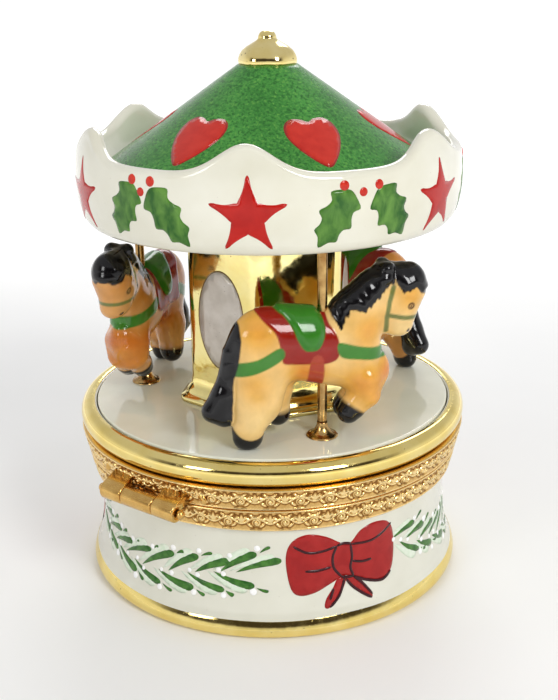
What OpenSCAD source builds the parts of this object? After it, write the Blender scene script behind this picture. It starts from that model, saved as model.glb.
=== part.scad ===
// Carousel music box: a hinged porcelain box with a small cylinder movement in its base
// and a carousel with three horses that turns on its lid.
// Millimetres. +Z is up and the origin is on the table under the centre. The clasp faces
// -Y and the hinge lies at +Y. Bearings are counted from -Y towards +X.

/* [Box] */
// Largest radius, at the gilded foot
foot_r = 32; // [31.5:0.1:32.5]
// Height of the foot band
foot_h = 3.5; // [3:0.1:4]
// Radius of the waist
waist_r = 29.7; // [29:0.1:29.8]
// Inside radius of the base and of the lid
inside_r = 26.8; // [26.4:0.1:27]
// Height of the floor's underside, which leaves room for the key
recess_h = 5.2; // [5:0.1:5.6]
// Height of the floor's top, on which the movement stands
floor_z = 8; // [7.8:0.1:8.2]
// Height where the base's bezel starts
bezel_z = 18.4; // [18:0.1:19]
// Height where the box parts
parting_z = 22.3; // [22.2:0.05:22.4]
// Height where the lid's bezel ends
lid_rim_z = 26.05; // [25.8:0.05:26.3]

/* [Carousel] */
// Radius of the turning deck
deck_r = 29.85; // [29.7:0.05:29.9]
// Height of the deck's top
deck_z = 29.87; // [29.5:0.01:30]
// Bearing of the first horse
horse_turn = -3; // [-10:1:10]
// Distance of the poles from the axis
pole_ring_r = 22.4; // [22:0.1:22.8]
// Radius of a pole
pole_r = 0.75; // [0.6:0.05:0.8]
// Turn of each horse about its pole, head outwards
horse_yaw = 8; // [6:1:12]
// Distance of the centre column's faces from the axis
column_r = 12.5; // [12:0.1:13]

/* [Canopy] */
// Height of the valance's lower edge
valance_z = 60.8; // [60:0.1:62]
// Largest radius of the valance
valance_r = 31; // [30:0.1:31.5]
// Thickness of the valance
valance_t = 2.8; // [2.5:0.1:3]
// Height of the six peaks
peak_z = 76.3; // [75:0.1:77]
// Height of the six valleys between the peaks
valley_z = 72.3; // [72:0.1:73]
// Bearing of the first valley
canopy_turn = 0.6; // [-10:0.1:10]
// Height of the top of the roof
roof_z = 84; // [83.8:0.1:84.2]
// Fall of the roof for each millimetre outwards
roof_slope = 0.7; // [0.65:0.01:0.75]
// Height of the top of the finial
finial_z = 89.3; // [88.5:0.1:90]

/* [Hinge] */
// Distance of the hinge pin from the axis of the box
hinge_y = 33.7; // [33.6:0.1:34]
// Height of the hinge pin
hinge_z = 22; // [21.9:0.1:22.1]
// Radius of the knuckles
knuckle_r = 1.5; // [1.4:0.05:1.5]
// Half the length of the three knuckles
knuckle_half = 7.4; // [7:0.1:8]
// Radius of the pin
hinge_pin_r = 0.5; // [0.4:0.05:0.6]

/* [Movement] */
// Height of the horizontal arbors
arbor_z = 16.4; // [16.4:0.1:16.5]
// Teeth of the barrel's crown wheel
crown_teeth = 48; // [48]
// Teeth of the pinions that run on the crown wheel
pinion_teeth = 12; // [12]
// Teeth of the governor's worm wheel
worm_wheel_teeth = 24; // [24]
// Threads of the worm
worm_starts = 3; // [3]
// Radius of the pinned cylinder
cylinder_r = 3.5; // [3.2:0.1:3.5]
// Teeth of the comb
comb_teeth = 16; // [12:1:16]

/* [Hidden] */
$fn = 48;

gap = 0.05;             // fit between pieces that don't move on each other
run = 0.05;             // radial clearance of a bearing
shoulder_z = 27.42;     // underside of the deck, just above the bush
lid_plate_z = 24.7;     // underside of the lid's plate
lid_plate_t = 2.5;
rod_r = 1.5;            // the carousel's centre rod
arbor_r = 0.5;          // thin arbors of the movement
winding_r = 1;          // the winding arbor
bedplate_top = floor_z + 1.4;
drum_r = 8;
drum_z = 10.2;          // underside of the spring barrel
crown_z = drum_z + 4;   // root of the crown teeth
crown_tooth_h = 0.65;
crown_r = 7.6;          // pitch radius of the crown wheel
pinion_r = crown_r * pinion_teeth / crown_teeth;
bridge_z = 17.7;        // underside of the barrel bridge
bridge_t = 1;
pillar_y = 11.5;
dog_z = bridge_z + bridge_t + 0.2;
dog_h = 1.4;
cylinder_x = -16.5;     // middle of the pinned cylinder
cylinder_len = 10;
pinion_x = 7.8;         // middle of each pinion, from the axis
comb_gap = 0.45;        // from the cylinder to the comb's tips
comb_z = arbor_z + 0.9;
comb_t = 0.7;
comb_back_y = -12.4;
wheel_x = 12.9;         // middle of the worm wheel
wheel_r = 4.2;
worm_r = 0.9;
worm_y = wheel_r + worm_r + gap;
fly_z = 21;
bearings = [0, 120, 240];

// Turns to a bearing and moves out to a distance
module at(bearing, distance = 0) rotate([0, 0, bearing]) translate([0, -distance, 0]) children();
// A cylinder along X, centred on X = x
module across(x, r, length) translate([x - length / 2, 0, 0]) rotate([0, 90, 0])
    cylinder(r = r, h = length);
// The side of the box between the foot and the bezel
function side_r(z) = z < 13
    ? waist_r + 1.4 * pow((13 - z) / 9.5, 2)
    : waist_r + 0.35 * pow((z - 13) / (bezel_z - 13), 2);
// The outside of the two bezels, which flare a little towards the top
function bezel_r(z) = 30.9 + (z - bezel_z) * 0.23;
// The outside of the valance and the top of the roof
function valance_out(z) = valance_r - (z < 67.5 ? 1.2 * pow((67.5 - z) / 6.6, 2)
    : 1.6 * pow((z - 67.5) / 8.8, 2));
function roof_top(r) = roof_z - roof_slope * (r - 5);
// The outline of a gear with straight-sided teeth
function gear_points(teeth, root, tip, root_share, tip_share) = [for (i = [0:teeth - 1])
    for (p = [[root, -root_share], [tip, -tip_share], [tip, tip_share], [root, root_share]])
        [p[0] * cos((i + p[1] / 2) * 360 / teeth), p[0] * sin((i + p[1] / 2) * 360 / teeth)]];

// ---- base ----
module base_section() polygon(concat(
    [[0, floor_z], [0, recess_h], [25, recess_h], [27.2, 3.4], [28.2, 0.3], [28.6, 0]],
    [for (a = [-90:15:30]) [foot_r - 1.4 + 1.4 * cos(a), 1.4 + 1.4 * sin(a)]],
    [[31.6, foot_h - 0.6]],
    [for (i = [0:14]) let (z = foot_h + (bezel_z - foot_h) * i / 14) [side_r(z), z]],
    [[side_r(bezel_z), parting_z - 0.3], [inside_r, parting_z - 0.3], [inside_r, floor_z + 1.5]],
    [for (a = [0:-30:-90]) [inside_r - 1.5 + 1.5 * cos(a), floor_z + 1.5 + 1.5 * sin(a)]]));
bedplate_screw_spots = [[-14.5, 10.5], [13.5, -10.5], [13.5, 12]];
module base_bowl() color("ivory") difference() {
    rotate_extrude($fn = 96) base_section();
    translate([0, 0, recess_h - 1]) cylinder(r = 2.55, h = 5);
    for (p = bedplate_screw_spots) translate([p[0], p[1], recess_h - 1]) cylinder(r = 0.9, h = 5);
}
module bezel_cone(inset = 0) rotate_extrude($fn = 96) polygon([[0, bezel_z - 3],
    [bezel_r(bezel_z - 3) + inset, bezel_z - 3], [bezel_r(lid_rim_z) + inset, lid_rim_z], [0, lid_rim_z]]);
module lower_bezel() color("gold") rotate_extrude($fn = 96) polygon([
    [27.4, parting_z - 0.25], [30.1, parting_z - 0.25], [30.1, bezel_z], [bezel_r(bezel_z), bezel_z],
    [bezel_r(parting_z - 0.05), parting_z - 0.05], [27.4, parting_z - 0.05]]);
module knuckle(x, half) translate([x, hinge_y, hinge_z]) across(0, knuckle_r, 2 * half);
module pin_hole(r) translate([0, hinge_y, hinge_z]) across(0, r, 30);
knuckle_split = 3.1;
module hinge_base_leaf() color("goldenrod") difference() {
    union() {
        knuckle(0, knuckle_split);
        translate([-knuckle_split, 30, hinge_z - 3]) cube([2 * knuckle_split, hinge_y - 30, 3.1]);
    }
    bezel_cone(gap);
    pin_hole(hinge_pin_r + 0.02);
}
module hinge_pin() color("gold") translate([0, hinge_y, hinge_z]) {
    across(0, hinge_pin_r, 2 * knuckle_half + 0.6);
    for (s = [-1, 1]) translate([s * (knuckle_half + 0.6), 0, 0]) sphere(r = 0.75);
}
module clasp_catch() color("goldenrod") difference() {
    translate([-2.4, -33.2, parting_z - 3]) cube([4.8, 3, 2.7]);
    bezel_cone(gap);
}
module key_bush() color("gold") difference() {
    union() {
        translate([0, 0, recess_h - 0.6]) cylinder(r = 4, h = 0.58);
        translate([0, 0, recess_h - 0.3]) cylinder(r = 2.5, h = floor_z - recess_h + 0.25);
    }
    translate([0, 0, recess_h - 1]) cylinder(r = winding_r + run, h = 6);
}

// ---- movement, fixed parts ----
module bedplate() color("gold") difference() {
    union() {
        translate([0, 0, floor_z]) linear_extrude(bedplate_top - floor_z) intersection() {
            circle(r = 25.3, $fn = 96);
            translate([-25.5, -14.5]) square([44.5, 29]);
        }
        translate([0, 0, bedplate_top]) cylinder(r = 2.4, h = drum_z - bedplate_top - gap);
    }
    translate([0, 0, floor_z - 1]) cylinder(r = winding_r + run, h = 5);
    for (p = bedplate_screw_spots) translate([p[0], p[1], floor_z - 1]) cylinder(r = 0.72, h = 5);
}
module pan_screw(head_r, head_h, shank_r, length) {
    difference() {
        cylinder(r = head_r, h = head_h);
        translate([-head_r, -0.15, head_h - 0.3]) cube([2 * head_r, 0.3, 1]);
    }
    translate([0, 0, -length]) cylinder(r = shank_r, h = length + 0.1);
}
module bedplate_screws() color("silver") for (p = bedplate_screw_spots)
    translate([p[0], p[1], recess_h - gap]) rotate([180, 0, 0])
        pan_screw(1.6, 0.8, 0.7, bedplate_top - recess_h);
post_screw_spots = [[-12.6, 0], [-20.4, 0]];
module cylinder_post(x, toward) difference() {
    union() {
        translate([x - 0.45, -2.2, bedplate_top + gap]) cube([0.9, 4.4, arbor_z - bedplate_top]);
        translate([x, 0, arbor_z]) across(0, 2.2, 0.9);
        translate([min(x, x + toward * 3.4), -2.2, bedplate_top + gap]) cube([3.4, 4.4, 0.8]);
    }
    translate([x, 0, arbor_z]) across(0, arbor_r + run, 3);
    for (p = post_screw_spots) translate([p[0], p[1], bedplate_top - 1]) cylinder(r = 0.62, h = 3);
}
module cylinder_post_inner() color("silver") cylinder_post(-10.6, -1);
module cylinder_post_outer() color("silver") cylinder_post(-22.4, 1);
module post_screws() color("steelblue") for (p = post_screw_spots)
    translate([p[0], p[1], bedplate_top + 0.9]) pan_screw(1, 0.6, 0.58, 0.85);
comb_half = comb_teeth * 0.62 / 2;
comb_screw_spots = [[cylinder_x - 2.6, -10.8], [cylinder_x + 2.6, -10.8]];
module comb_block() color("silver") difference() {
    translate([cylinder_x - comb_half, comb_back_y, bedplate_top + gap])
        cube([2 * comb_half, 3.4, comb_z - bedplate_top - 2 * gap]);
    for (p = comb_screw_spots) translate([p[0], p[1], comb_z - 4]) cylinder(r = 0.62, h = 5);
}
comb_tip_y = -sqrt(pow(cylinder_r + comb_gap, 2) - pow(comb_z - arbor_z, 2));
module comb() color("lightsteelblue") difference() {
    translate([cylinder_x - comb_half, comb_back_y, comb_z])
        cube([2 * comb_half, comb_tip_y - comb_back_y, comb_t]);
    for (i = [1:comb_teeth - 1]) translate([cylinder_x - comb_half + i * 0.62 - 0.07, -9 + i * 0.12, comb_z - 1])
        cube([0.14, 10, 3]);
    for (p = comb_screw_spots) translate([p[0], p[1], comb_z - 1]) cylinder(r = 0.65, h = 3);
}
module comb_screws() color("steelblue") for (p = comb_screw_spots)
    translate([p[0], p[1], comb_z + comb_t + gap]) pan_screw(1.1, 0.7, 0.58, 3.5);
module barrel_bridge() color("gold") difference() {
    translate([0, 0, bridge_z]) linear_extrude(bridge_t) {
        square([5, 2 * pillar_y], center = true);
        for (s = [-1, 1]) translate([0, s * pillar_y]) circle(r = 2.5);
    }
    translate([0, 0, bridge_z - 1]) cylinder(r = rod_r + run, h = 4);
    for (s = [-1, 1]) translate([0, s * pillar_y, bridge_z - 1]) cylinder(r = 0.65, h = 4);
}
module bridge_pillars() color("gold") for (s = [-1, 1]) translate([0, s * pillar_y, 0]) difference() {
    translate([0, 0, bedplate_top + gap]) cylinder(r = 1.6, h = bridge_z - bedplate_top - 2 * gap);
    translate([0, 0, bridge_z - 4]) cylinder(r = 0.62, h = 5);
}
module bridge_screws() color("steelblue") for (s = [-1, 1])
    translate([0, s * pillar_y, bridge_z + bridge_t + gap]) pan_screw(1.2, 0.7, 0.58, 4.5);
post_y = 9.4;
governor_screw_spot = [11.7, -2.1];
module governor_frame() color("silver") difference() {
    union() {
        translate([9.6, -3.2, bedplate_top + gap]) cube([7, post_y + 4.2, 0.8]);
        for (x = [10.1, 15.9]) {
            translate([x - 0.4, -1.5, bedplate_top + gap]) cube([0.8, 3, arbor_z - bedplate_top]);
            translate([x, 0, arbor_z]) across(0, 1.5, 0.8);
        }
        translate([wheel_x - 1.2, post_y, bedplate_top + gap]) cube([2.4, 1, fly_z + 3 - bedplate_top]);
        translate([wheel_x - 1.2, worm_y - 1.1, fly_z + 2.4 + gap]) cube([2.4, post_y + 1.6 - worm_y, 0.6]);
    }
    translate([12, 0, arbor_z]) across(0, arbor_r + run, 12);
    translate([wheel_x, worm_y, floor_z]) cylinder(r = 0.35 + run, h = 20);
    translate([governor_screw_spot[0], governor_screw_spot[1], floor_z]) cylinder(r = 0.62, h = 4);
}
module governor_screw() color("steelblue")
    translate([governor_screw_spot[0], governor_screw_spot[1], bedplate_top + 0.9]) pan_screw(1, 0.6, 0.58, 0.85);

// ---- movement, moving parts ----
module barrel_drum() color("gold") difference() {
    union() {
        translate([0, 0, drum_z]) cylinder(r = drum_r, h = crown_z - drum_z, $fn = 96);
        translate([0, 0, crown_z]) rotate([0, 0, 180 / crown_teeth]) linear_extrude(crown_tooth_h)
            polygon(gear_points(crown_teeth, 7.05, 8.35, 0.38, 0.32));
    }
    translate([0, 0, drum_z + 0.8]) cylinder(r = 7.2, h = crown_z - drum_z - 0.8);
    translate([0, 0, crown_z - 0.5]) cylinder(r = 6.8, h = 2);
    translate([0, 0, drum_z - 1]) cylinder(r = winding_r + run, h = 4);
}
cap_z = drum_z + 3.35;
module barrel_cap() color("silver") {
    difference() {
        union() {
            translate([0, 0, cap_z]) cylinder(r = 7.15, h = 0.6);
            translate([0, 0, cap_z]) cylinder(r = 6.75, h = 0.75);
            translate([0, 0, cap_z]) cylinder(r = 2.2, h = bridge_z - cap_z - 0.1);
            translate([0, 0, cap_z]) cylinder(r = rod_r, h = dog_z - cap_z);
        }
        translate([0, 0, cap_z - 1]) cylinder(r = 0.85, h = 1.8);
    }
    translate([-0.45, -rod_r + 0.1, dog_z - 0.1]) cube([0.9, 2 * rod_r - 0.2, dog_h + 0.1]);
}
function spiral(a, shift) = let (r = 2.1 + 4.7 * a / 2160 + shift) [r * cos(a), r * sin(a)];
module mainspring() color("steelblue") translate([0, 0, drum_z + 0.95]) linear_extrude(2.2)
    polygon(concat([for (a = [0:15:2160]) spiral(a, -0.13)], [for (a = [2160:-15:0]) spiral(a, 0.13)]));
module winding_arbor() color("silver") {
    translate([0, 0, 1.6]) cylinder(r = winding_r, h = drum_z);
    translate([0, 0, drum_z + 0.9]) cylinder(r = 1.6, h = 2.3);
    translate([0, 0, drum_z + 1]) cylinder(r = 0.8, h = cap_z - drum_z - 0.4);
}
module winding_key() color("gold") difference() {
    union() {
        translate([0, 0, 0.8]) cylinder(r = 1.9, h = 3.7);
        difference() {
            translate([0, 0.6, 2.65]) rotate([90, 0, 0]) linear_extrude(1.2) difference() {
                union() {
                    square([10, 2.4], center = true);
                    for (s = [-1, 1]) translate([s * 5, 0]) circle(r = 1.85);
                }
                for (s = [-1, 1]) translate([s * 5, 0]) circle(r = 0.8);
            }
            cylinder(r = 1.5, h = 6);
        }
    }
    translate([0, 0, 1.55]) cylinder(r = winding_r + 0.02, h = 4);
}
pin_rows = 6;
module pinned_cylinder() color("gold") translate([0, 0, arbor_z]) difference() {
    union() {
        across(cylinder_x, cylinder_r, cylinder_len, $fn = 96);
        for (i = [0:comb_teeth - 1], j = [0:pin_rows - 1])
            translate([cylinder_x - comb_half + (i + 0.5) * 0.62, 0, 0])
                rotate([j * 60 + (i * 47) % 53, 0, 0]) translate([0, 0, cylinder_r - 0.2])
                    cylinder(r = 0.11, h = 0.55, $fn = 16);
    }
    across(cylinder_x, arbor_r + 0.02, cylinder_len + 1);
}
module cylinder_arbor() color("silver") translate([0, 0, arbor_z]) across(-15, arbor_r, 16.2);
module pinion(x) color("silver") translate([x, 0, arbor_z]) difference() {
    rotate([0, 90, 0]) translate([0, 0, -0.7]) linear_extrude(1.4)
        polygon(gear_points(pinion_teeth, pinion_r - 0.35, pinion_r + 0.12, 0.42, 0.3));
    across(0, arbor_r + 0.02, 3);
}
module cylinder_pinion() pinion(-pinion_x);
module governor_arbor() color("silver") translate([0, 0, arbor_z]) across(11.7, arbor_r, 9.6);
module governor_pinion() pinion(pinion_x);
module worm_wheel() color("gold") translate([wheel_x, 0, arbor_z]) difference() {
    rotate([0, 90, 0]) translate([0, 0, -0.4]) linear_extrude(0.8) difference() {
        polygon(gear_points(worm_wheel_teeth, wheel_r - 0.45, wheel_r, 0.55, 0.3));
        for (a = [0:72:288]) rotate(a) translate([2.2, 0]) circle(r = 0.75);
    }
    across(0, arbor_r + 0.02, 3);
}
module worm_spindle() color("silver") translate([wheel_x, worm_y, 0]) {
    translate([0, 0, bedplate_top + 0.15]) cylinder(r = 0.35, h = fly_z + 2.9 - bedplate_top);
    translate([0, 0, arbor_z - 2.4]) linear_extrude(4.8, twist = -540, slices = 24)
        for (i = [0:worm_starts - 1]) rotate(i * 360 / worm_starts)
            polygon([[0, -0.4], [0.55, -0.35], [worm_r, -0.1], [worm_r, 0.1], [0.55, 0.35], [0, 0.4]]);
}
module air_brake() color("lightgrey") translate([wheel_x, worm_y, fly_z]) difference() {
    union() {
        cylinder(r = 0.8, h = 2);
        translate([-3.2, -0.12, 0]) cube([6.4, 0.24, 2]);
    }
    translate([0, 0, -1]) cylinder(r = 0.37, h = 4);
}

// ---- lid ----
module lid_shell() color("ivory") rotate_extrude($fn = 96) polygon(concat(
    [[inside_r, parting_z + 0.38], [30.05, parting_z + 0.38], [30.05, lid_rim_z + gap]],
    [for (a = [-90:15:90]) [30.9 + 1.75 * cos(a), 28 + 1.9 * sin(a)]],
    [[30.05, 29.75], [30.05, lid_plate_z + lid_plate_t], [2.65, lid_plate_z + lid_plate_t],
    [2.65, lid_plate_z], [25.6, lid_plate_z], [inside_r, lid_plate_z - 1]]));
module upper_bezel() color("gold") rotate_extrude($fn = 96) polygon([
    [27.4, parting_z + 0.1], [bezel_r(parting_z + 0.1), parting_z + 0.1],
    [bezel_r(lid_rim_z), lid_rim_z], [30.1, lid_rim_z], [30.1, parting_z + 0.32], [27.4, parting_z + 0.32]]);
module hinge_lid_leaf() color("goldenrod") difference() {
    for (s = [-1, 1]) {
        knuckle(s * (knuckle_half + knuckle_split + 0.1) / 2, (knuckle_half - knuckle_split - 0.1) / 2);
        translate([s > 0 ? knuckle_split + 0.1 : -knuckle_half, 29.5, hinge_z + 0.45])
            cube([knuckle_half - knuckle_split - 0.1, hinge_y - 29.5, 2.3]);
    }
    bezel_cone(gap);
    pin_hole(hinge_pin_r + run);
}
module clasp_thumbpiece() color("goldenrod") difference() {
    union() {
        translate([-3.2, -34.6, parting_z - 2.6]) cube([6.4, 1.1, 5]);
        translate([-3.2, -34.6, parting_z + 0.25]) cube([6.4, 4, 2.15]);
        translate([0, -34.3, parting_z - 2.6]) across(0, 0.9, 4.4);
    }
    bezel_cone(gap);
}
module spindle_bush() color("gold") difference() {
    union() {
        translate([0, 0, lid_plate_z - 0.85]) cylinder(r = 4, h = 0.8);
        translate([0, 0, lid_plate_z - 0.5]) cylinder(r = 2.6, h = shoulder_z - lid_plate_z + 0.45);
    }
    translate([0, 0, lid_plate_z - 2]) cylinder(r = rod_r + run, h = 6);
}

// ---- carousel ----
module deck() color("ivory") difference() {
    rotate_extrude($fn = 96) polygon([[0, shoulder_z], [deck_r - 0.2, shoulder_z],
        [deck_r, shoulder_z + 0.2], [deck_r, deck_z - 0.25], [deck_r - 0.25, deck_z], [0, deck_z]]);
    translate([0, 0, shoulder_z - 1]) cylinder(r = rod_r + 0.02, h = 5);
    translate([0, 0, shoulder_z - 1]) cylinder(r = 3.3, h = 1.8);
}
corner = 1 / cos(30);   // from a hexagon's face distance to its corner distance
shoulder_top = 64.5;    // the column narrows to its neck below this height
neck_r = 8.6;
module hex_prism(face_r, from, to) translate([0, 0, from]) rotate([0, 0, horse_turn])
    cylinder(r = face_r * corner, h = to - from, $fn = 6);
module column() color("gold") difference() {
    union() {
        intersection() {
            hex_prism(column_r, deck_z + gap, 75);
            rotate_extrude($fn = 96) polygon(concat([[0, deck_z], [15, deck_z], [15, shoulder_top - 6.5]],
                [for (a = [10:20:90]) [15 - 6.4 * (1 - cos(a)), shoulder_top - 6.5 + 6.5 * sin(a)]],
                [[neck_r, 75], [0, 75]]));
        }
        hex_prism(column_r + 1.7, deck_z + gap, deck_z + 1.1);
        hex_prism(column_r + 0.8, deck_z + 0.5, deck_z + 2.2);
    }
    hex_prism(column_r - 2.2, deck_z - 1, shoulder_top - 6);
    translate([0, 0, deck_z]) cylinder(r = rod_r + 0.02, h = 50);
}
module canopy_section() polygon(concat(
    [[valance_out(valance_z) - valance_t + 0.6, valance_z + 0.5], [valance_out(valance_z) - 1.7, valance_z - 0.1],
    [valance_out(valance_z) - 0.6, valance_z + 0.1]],
    [for (i = [1:14]) let (z = valance_z + (peak_z - valance_z - 1) * i / 14) [valance_out(z), z]],
    [[valance_out(peak_z) - 0.5, peak_z - 0.25], [valance_out(peak_z) - 1.3, peak_z],
    [valance_out(peak_z) - 2.3, peak_z - 0.6], [27.6, 70], [26.6, roof_top(26.6)], [5, roof_z],
    [rod_r + 0.02, roof_z], [rod_r + 0.02, roof_z - 4], [6, roof_z - 4.2], [25, roof_top(25) - 3.4],
    [valance_out(64) - valance_t, 64]]));
module canopy() color("forestgreen") difference() {
    rotate_extrude($fn = 96) canopy_section();
    for (i = [0:5]) at(canopy_turn + i * 60, 23) translate([0, 0, valley_z + 24.8])
        rotate([90, 0, 0]) cylinder(r = 24.8, h = 12, $fn = 96);
}
module finial() color("gold") difference() {
    translate([0, 0, roof_z + gap]) rotate_extrude() polygon(concat([[0, 0], [4.4, 0], [4.55, 0.35]],
        [for (a = [0:15:75]) [1.9 + 2.5 * cos(a), 0.6 + 2.5 * sin(a)]],
        [for (a = [-10:20:90]) [2.1 * cos(a), finial_z - roof_z - 2.05 + 2 * sin(a)]]));
    translate([0, 0, roof_z - 1]) cylinder(r = rod_r + 0.02, h = 3);
}
module centre_rod() color("silver") difference() {
    union() {
        translate([0, 0, dog_z + 0.2]) cylinder(r = rod_r, h = roof_z + 1.8 - dog_z - 0.2);
        translate([0, 0, shoulder_z]) cylinder(r = 3.2, h = 0.75);
    }
    translate([-0.55, -2, dog_z - 1]) cube([1.1, 4, dog_h + 1.2]);
}
module retaining_ring() color("silver") translate([0, 0, lid_plate_z - 1.5]) difference() {
    cylinder(r = 2.8, h = 0.55);
    translate([0, 0, -1]) cylinder(r = rod_r + 0.02, h = 3);
}
pole_top = roof_top(pole_ring_r + pole_r) - 3.6;
module pole(bearing) color("darkgoldenrod") at(bearing, pole_ring_r)
    translate([0, 0, deck_z + gap]) cylinder(r = pole_r, h = pole_top - deck_z - gap);
module pole_foot(bearing) color("darkgoldenrod") at(bearing, pole_ring_r) translate([0, 0, deck_z + gap])
    rotate_extrude() polygon(concat([[pole_r + 0.02, 0], [2.5, 0]],
        [for (a = [0:15:90]) [2.5 - 1.45 * sin(a), 0.2 + 1.9 * (1 - cos(a))]], [[pole_r + 0.02, 2.1]]));
module pole_front() pole(horse_turn + bearings[0]);
module pole_right() pole(horse_turn + bearings[1]);
module pole_left() pole(horse_turn + bearings[2]);
module pole_foot_front() pole_foot(horse_turn + bearings[0]);
module pole_foot_right() pole_foot(horse_turn + bearings[1]);
module pole_foot_left() pole_foot(horse_turn + bearings[2]);

// A limb between balls, each [forward, outward, up, radius]
module limb(balls) for (i = [0:len(balls) - 2]) hull() for (b = [balls[i], balls[i + 1]])
    translate([b[0], -b[1], b[2]]) sphere(r = b[3], $fn = 18);
module horse_body() {
    scale([1, 0.68, 1]) {
        limb([[-8.8, 0, 15.9, 5.5], [-3, 0, 15, 5.5], [4.3, 0, 12.6, 4.8], [6.9, 0, 10.2, 3.6]]);
        limb([[4, 0, 16.4, 4.4], [8.4, -0.7, 21.8, 3.6]]);
        limb([[1.8, 0, 18.4, 2.2], [4.8, -0.2, 20.7, 2.6], [9.4, -1.2, 24.3, 2.4]]);
        limb([[-12.6, 0, 17.9, 1], [-14, 0, 14.5, 1.5], [-14.7, 0, 9.5, 1.7], [-16.9, 0, 5.5, 1.9]]);
        limb([[-9.2, 1.6, 12.4, 4.4], [-10.4, 2.2, 7, 3.6]]);
        limb([[-7.4, -1.6, 12, 4.2], [-7.6, -2.2, 8.4, 3.2]]);
    }
    limb([[12.8, -1, 22, 3.1], [12, -1, 17.6, 2.3]]);
    limb([[9.8, -0.9, 24.2, 2.4], [13.3, -1, 23.7, 2.5]]);
    limb([[-10.4, 1.5, 7, 2.8], [-12, 2, 2.1, 2.1]]);
    limb([[-7.6, -1.5, 8.4, 2.6], [-6.8, -2.2, 3.6, 2]]);
    for (side = [-0.9, 1.3]) limb([[6.4, side, 9, 2.6], [6.2, side, 6.7, 2.5], [3.9, side, 4.2, 1.85]]);
}
module horse(bearing) color("sandybrown") at(bearing, pole_ring_r) translate([0, 0, deck_z + 0.1])
    rotate([0, 0, -horse_yaw]) difference() {
        horse_body();
        cylinder(r = pole_r + 0.04, h = 40);
    }
module horse_front() horse(horse_turn + bearings[0]);
module horse_right() horse(horse_turn + bearings[1]);
module horse_left() horse(horse_turn + bearings[2]);

base_bowl();
lower_bezel();
hinge_base_leaf();
hinge_pin();
clasp_catch();
key_bush();
bedplate();
bedplate_screws();
cylinder_post_inner();
cylinder_post_outer();
post_screws();
comb_block();
comb();
comb_screws();
barrel_bridge();
bridge_pillars();
bridge_screws();
governor_frame();
governor_screw();
barrel_drum();
barrel_cap();
mainspring();
winding_arbor();
winding_key();
pinned_cylinder();
cylinder_arbor();
cylinder_pinion();
governor_arbor();
governor_pinion();
worm_wheel();
worm_spindle();
air_brake();
lid_shell();
upper_bezel();
hinge_lid_leaf();
clasp_thumbpiece();
spindle_bush();
deck();
column();
canopy();
finial();
centre_rod();
retaining_ring();
pole_front();
pole_right();
pole_left();
pole_foot_front();
pole_foot_right();
pole_foot_left();
horse_front();
horse_right();
horse_left();
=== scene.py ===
"""Looks of the carousel music box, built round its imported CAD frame.

Shapes are written in millimetres in the model's own frame, and add_piece() turns them into metres.
Bearings are degrees counted from -Y towards +X, so a bearing grows to the right when a side is
looked at from outside.
"""
import math

import bmesh
import bpy
import numpy as np
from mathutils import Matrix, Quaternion, Vector
from mathutils.geometry import delaunay_2d_cdt


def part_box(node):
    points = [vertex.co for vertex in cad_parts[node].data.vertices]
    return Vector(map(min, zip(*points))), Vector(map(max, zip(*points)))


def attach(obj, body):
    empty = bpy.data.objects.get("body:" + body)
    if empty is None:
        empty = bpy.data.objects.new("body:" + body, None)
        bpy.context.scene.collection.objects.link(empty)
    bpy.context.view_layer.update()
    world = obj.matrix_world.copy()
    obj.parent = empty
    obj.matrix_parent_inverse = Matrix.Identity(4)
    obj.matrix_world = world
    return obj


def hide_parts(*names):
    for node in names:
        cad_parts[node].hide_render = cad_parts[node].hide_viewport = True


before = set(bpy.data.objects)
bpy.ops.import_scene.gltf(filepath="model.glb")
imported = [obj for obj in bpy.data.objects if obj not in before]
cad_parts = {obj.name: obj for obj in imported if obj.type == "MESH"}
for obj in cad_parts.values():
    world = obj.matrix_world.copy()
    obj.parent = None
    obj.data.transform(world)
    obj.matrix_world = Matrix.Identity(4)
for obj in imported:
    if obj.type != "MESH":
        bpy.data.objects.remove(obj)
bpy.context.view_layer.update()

MM = 0.001
FAR = 1e9
BODY_BASE, BODY_LID, BODY_CAROUSEL = "base", "lid", "carousel"
LIGHT_AIM = Vector((0, 0, 0.045))


# ---- sizes, from the frame ----

def low(node, axis):
    """Lowest coordinate of a CAD node along X, Y or Z (0, 1 or 2), in millimetres."""
    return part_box(node)[0][axis] / MM


def high(node, axis):
    """Highest coordinate of a CAD node along X, Y or Z (0, 1 or 2), in millimetres."""
    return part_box(node)[1][axis] / MM


FOOT_R = high("base_bowl", 0)
FOOT_H = 3.5
FOOT_ROLL_R = 1.4
FOOT_EDGE_R = 31.55
WAIST_R = 29.7
WAIST_Z = 13
SIDE_MEAN_R = 30.2
BEZEL_SEAT_R = 30.05
BEZEL_BACK_R = 30.1
BEZEL_LIP_R = 27.4
INSIDE_R = 26.8
FLOOR_Z = low("bedplate", 2)
RECESS_Z = 5.2
BEZEL_Z = low("lower_bezel", 2)
PARTING_Z = high("lower_bezel", 2) + 0.05
LID_RIM_Z = high("upper_bezel", 2)
DECK_R = high("deck", 0)
DECK_Z = high("deck", 2)
DECK_UNDER_Z = low("deck", 2)
COLUMN_R = 12.5
COLUMN_TOP_Z = high("column", 2)
ROD_R = 1.5
BORE_R = ROD_R + 0.05
VALANCE_Z = low("canopy", 2)
VALANCE_R = high("canopy", 0)
VALANCE_MEAN_R = 31.0
PEAK_Z = 76.3
VALLEY_Z = 72.3
ROOF_Z = high("canopy", 2)
ROOF_FALL = 0.7
FINIAL_Z = high("finial", 2)
POLE_RING_R = 22.4
POLE_R = 0.75
HORSE_TURN = -3.0
HORSE_YAW = 8.0
CANOPY_TURN = 0.6
HINGE_Y = 33.7
HINGE_Z = 22.0
KNUCKLE_R = 1.5
KNUCKLE_HALF = 7.4
KNUCKLE_SPLIT = 3.1
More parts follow.
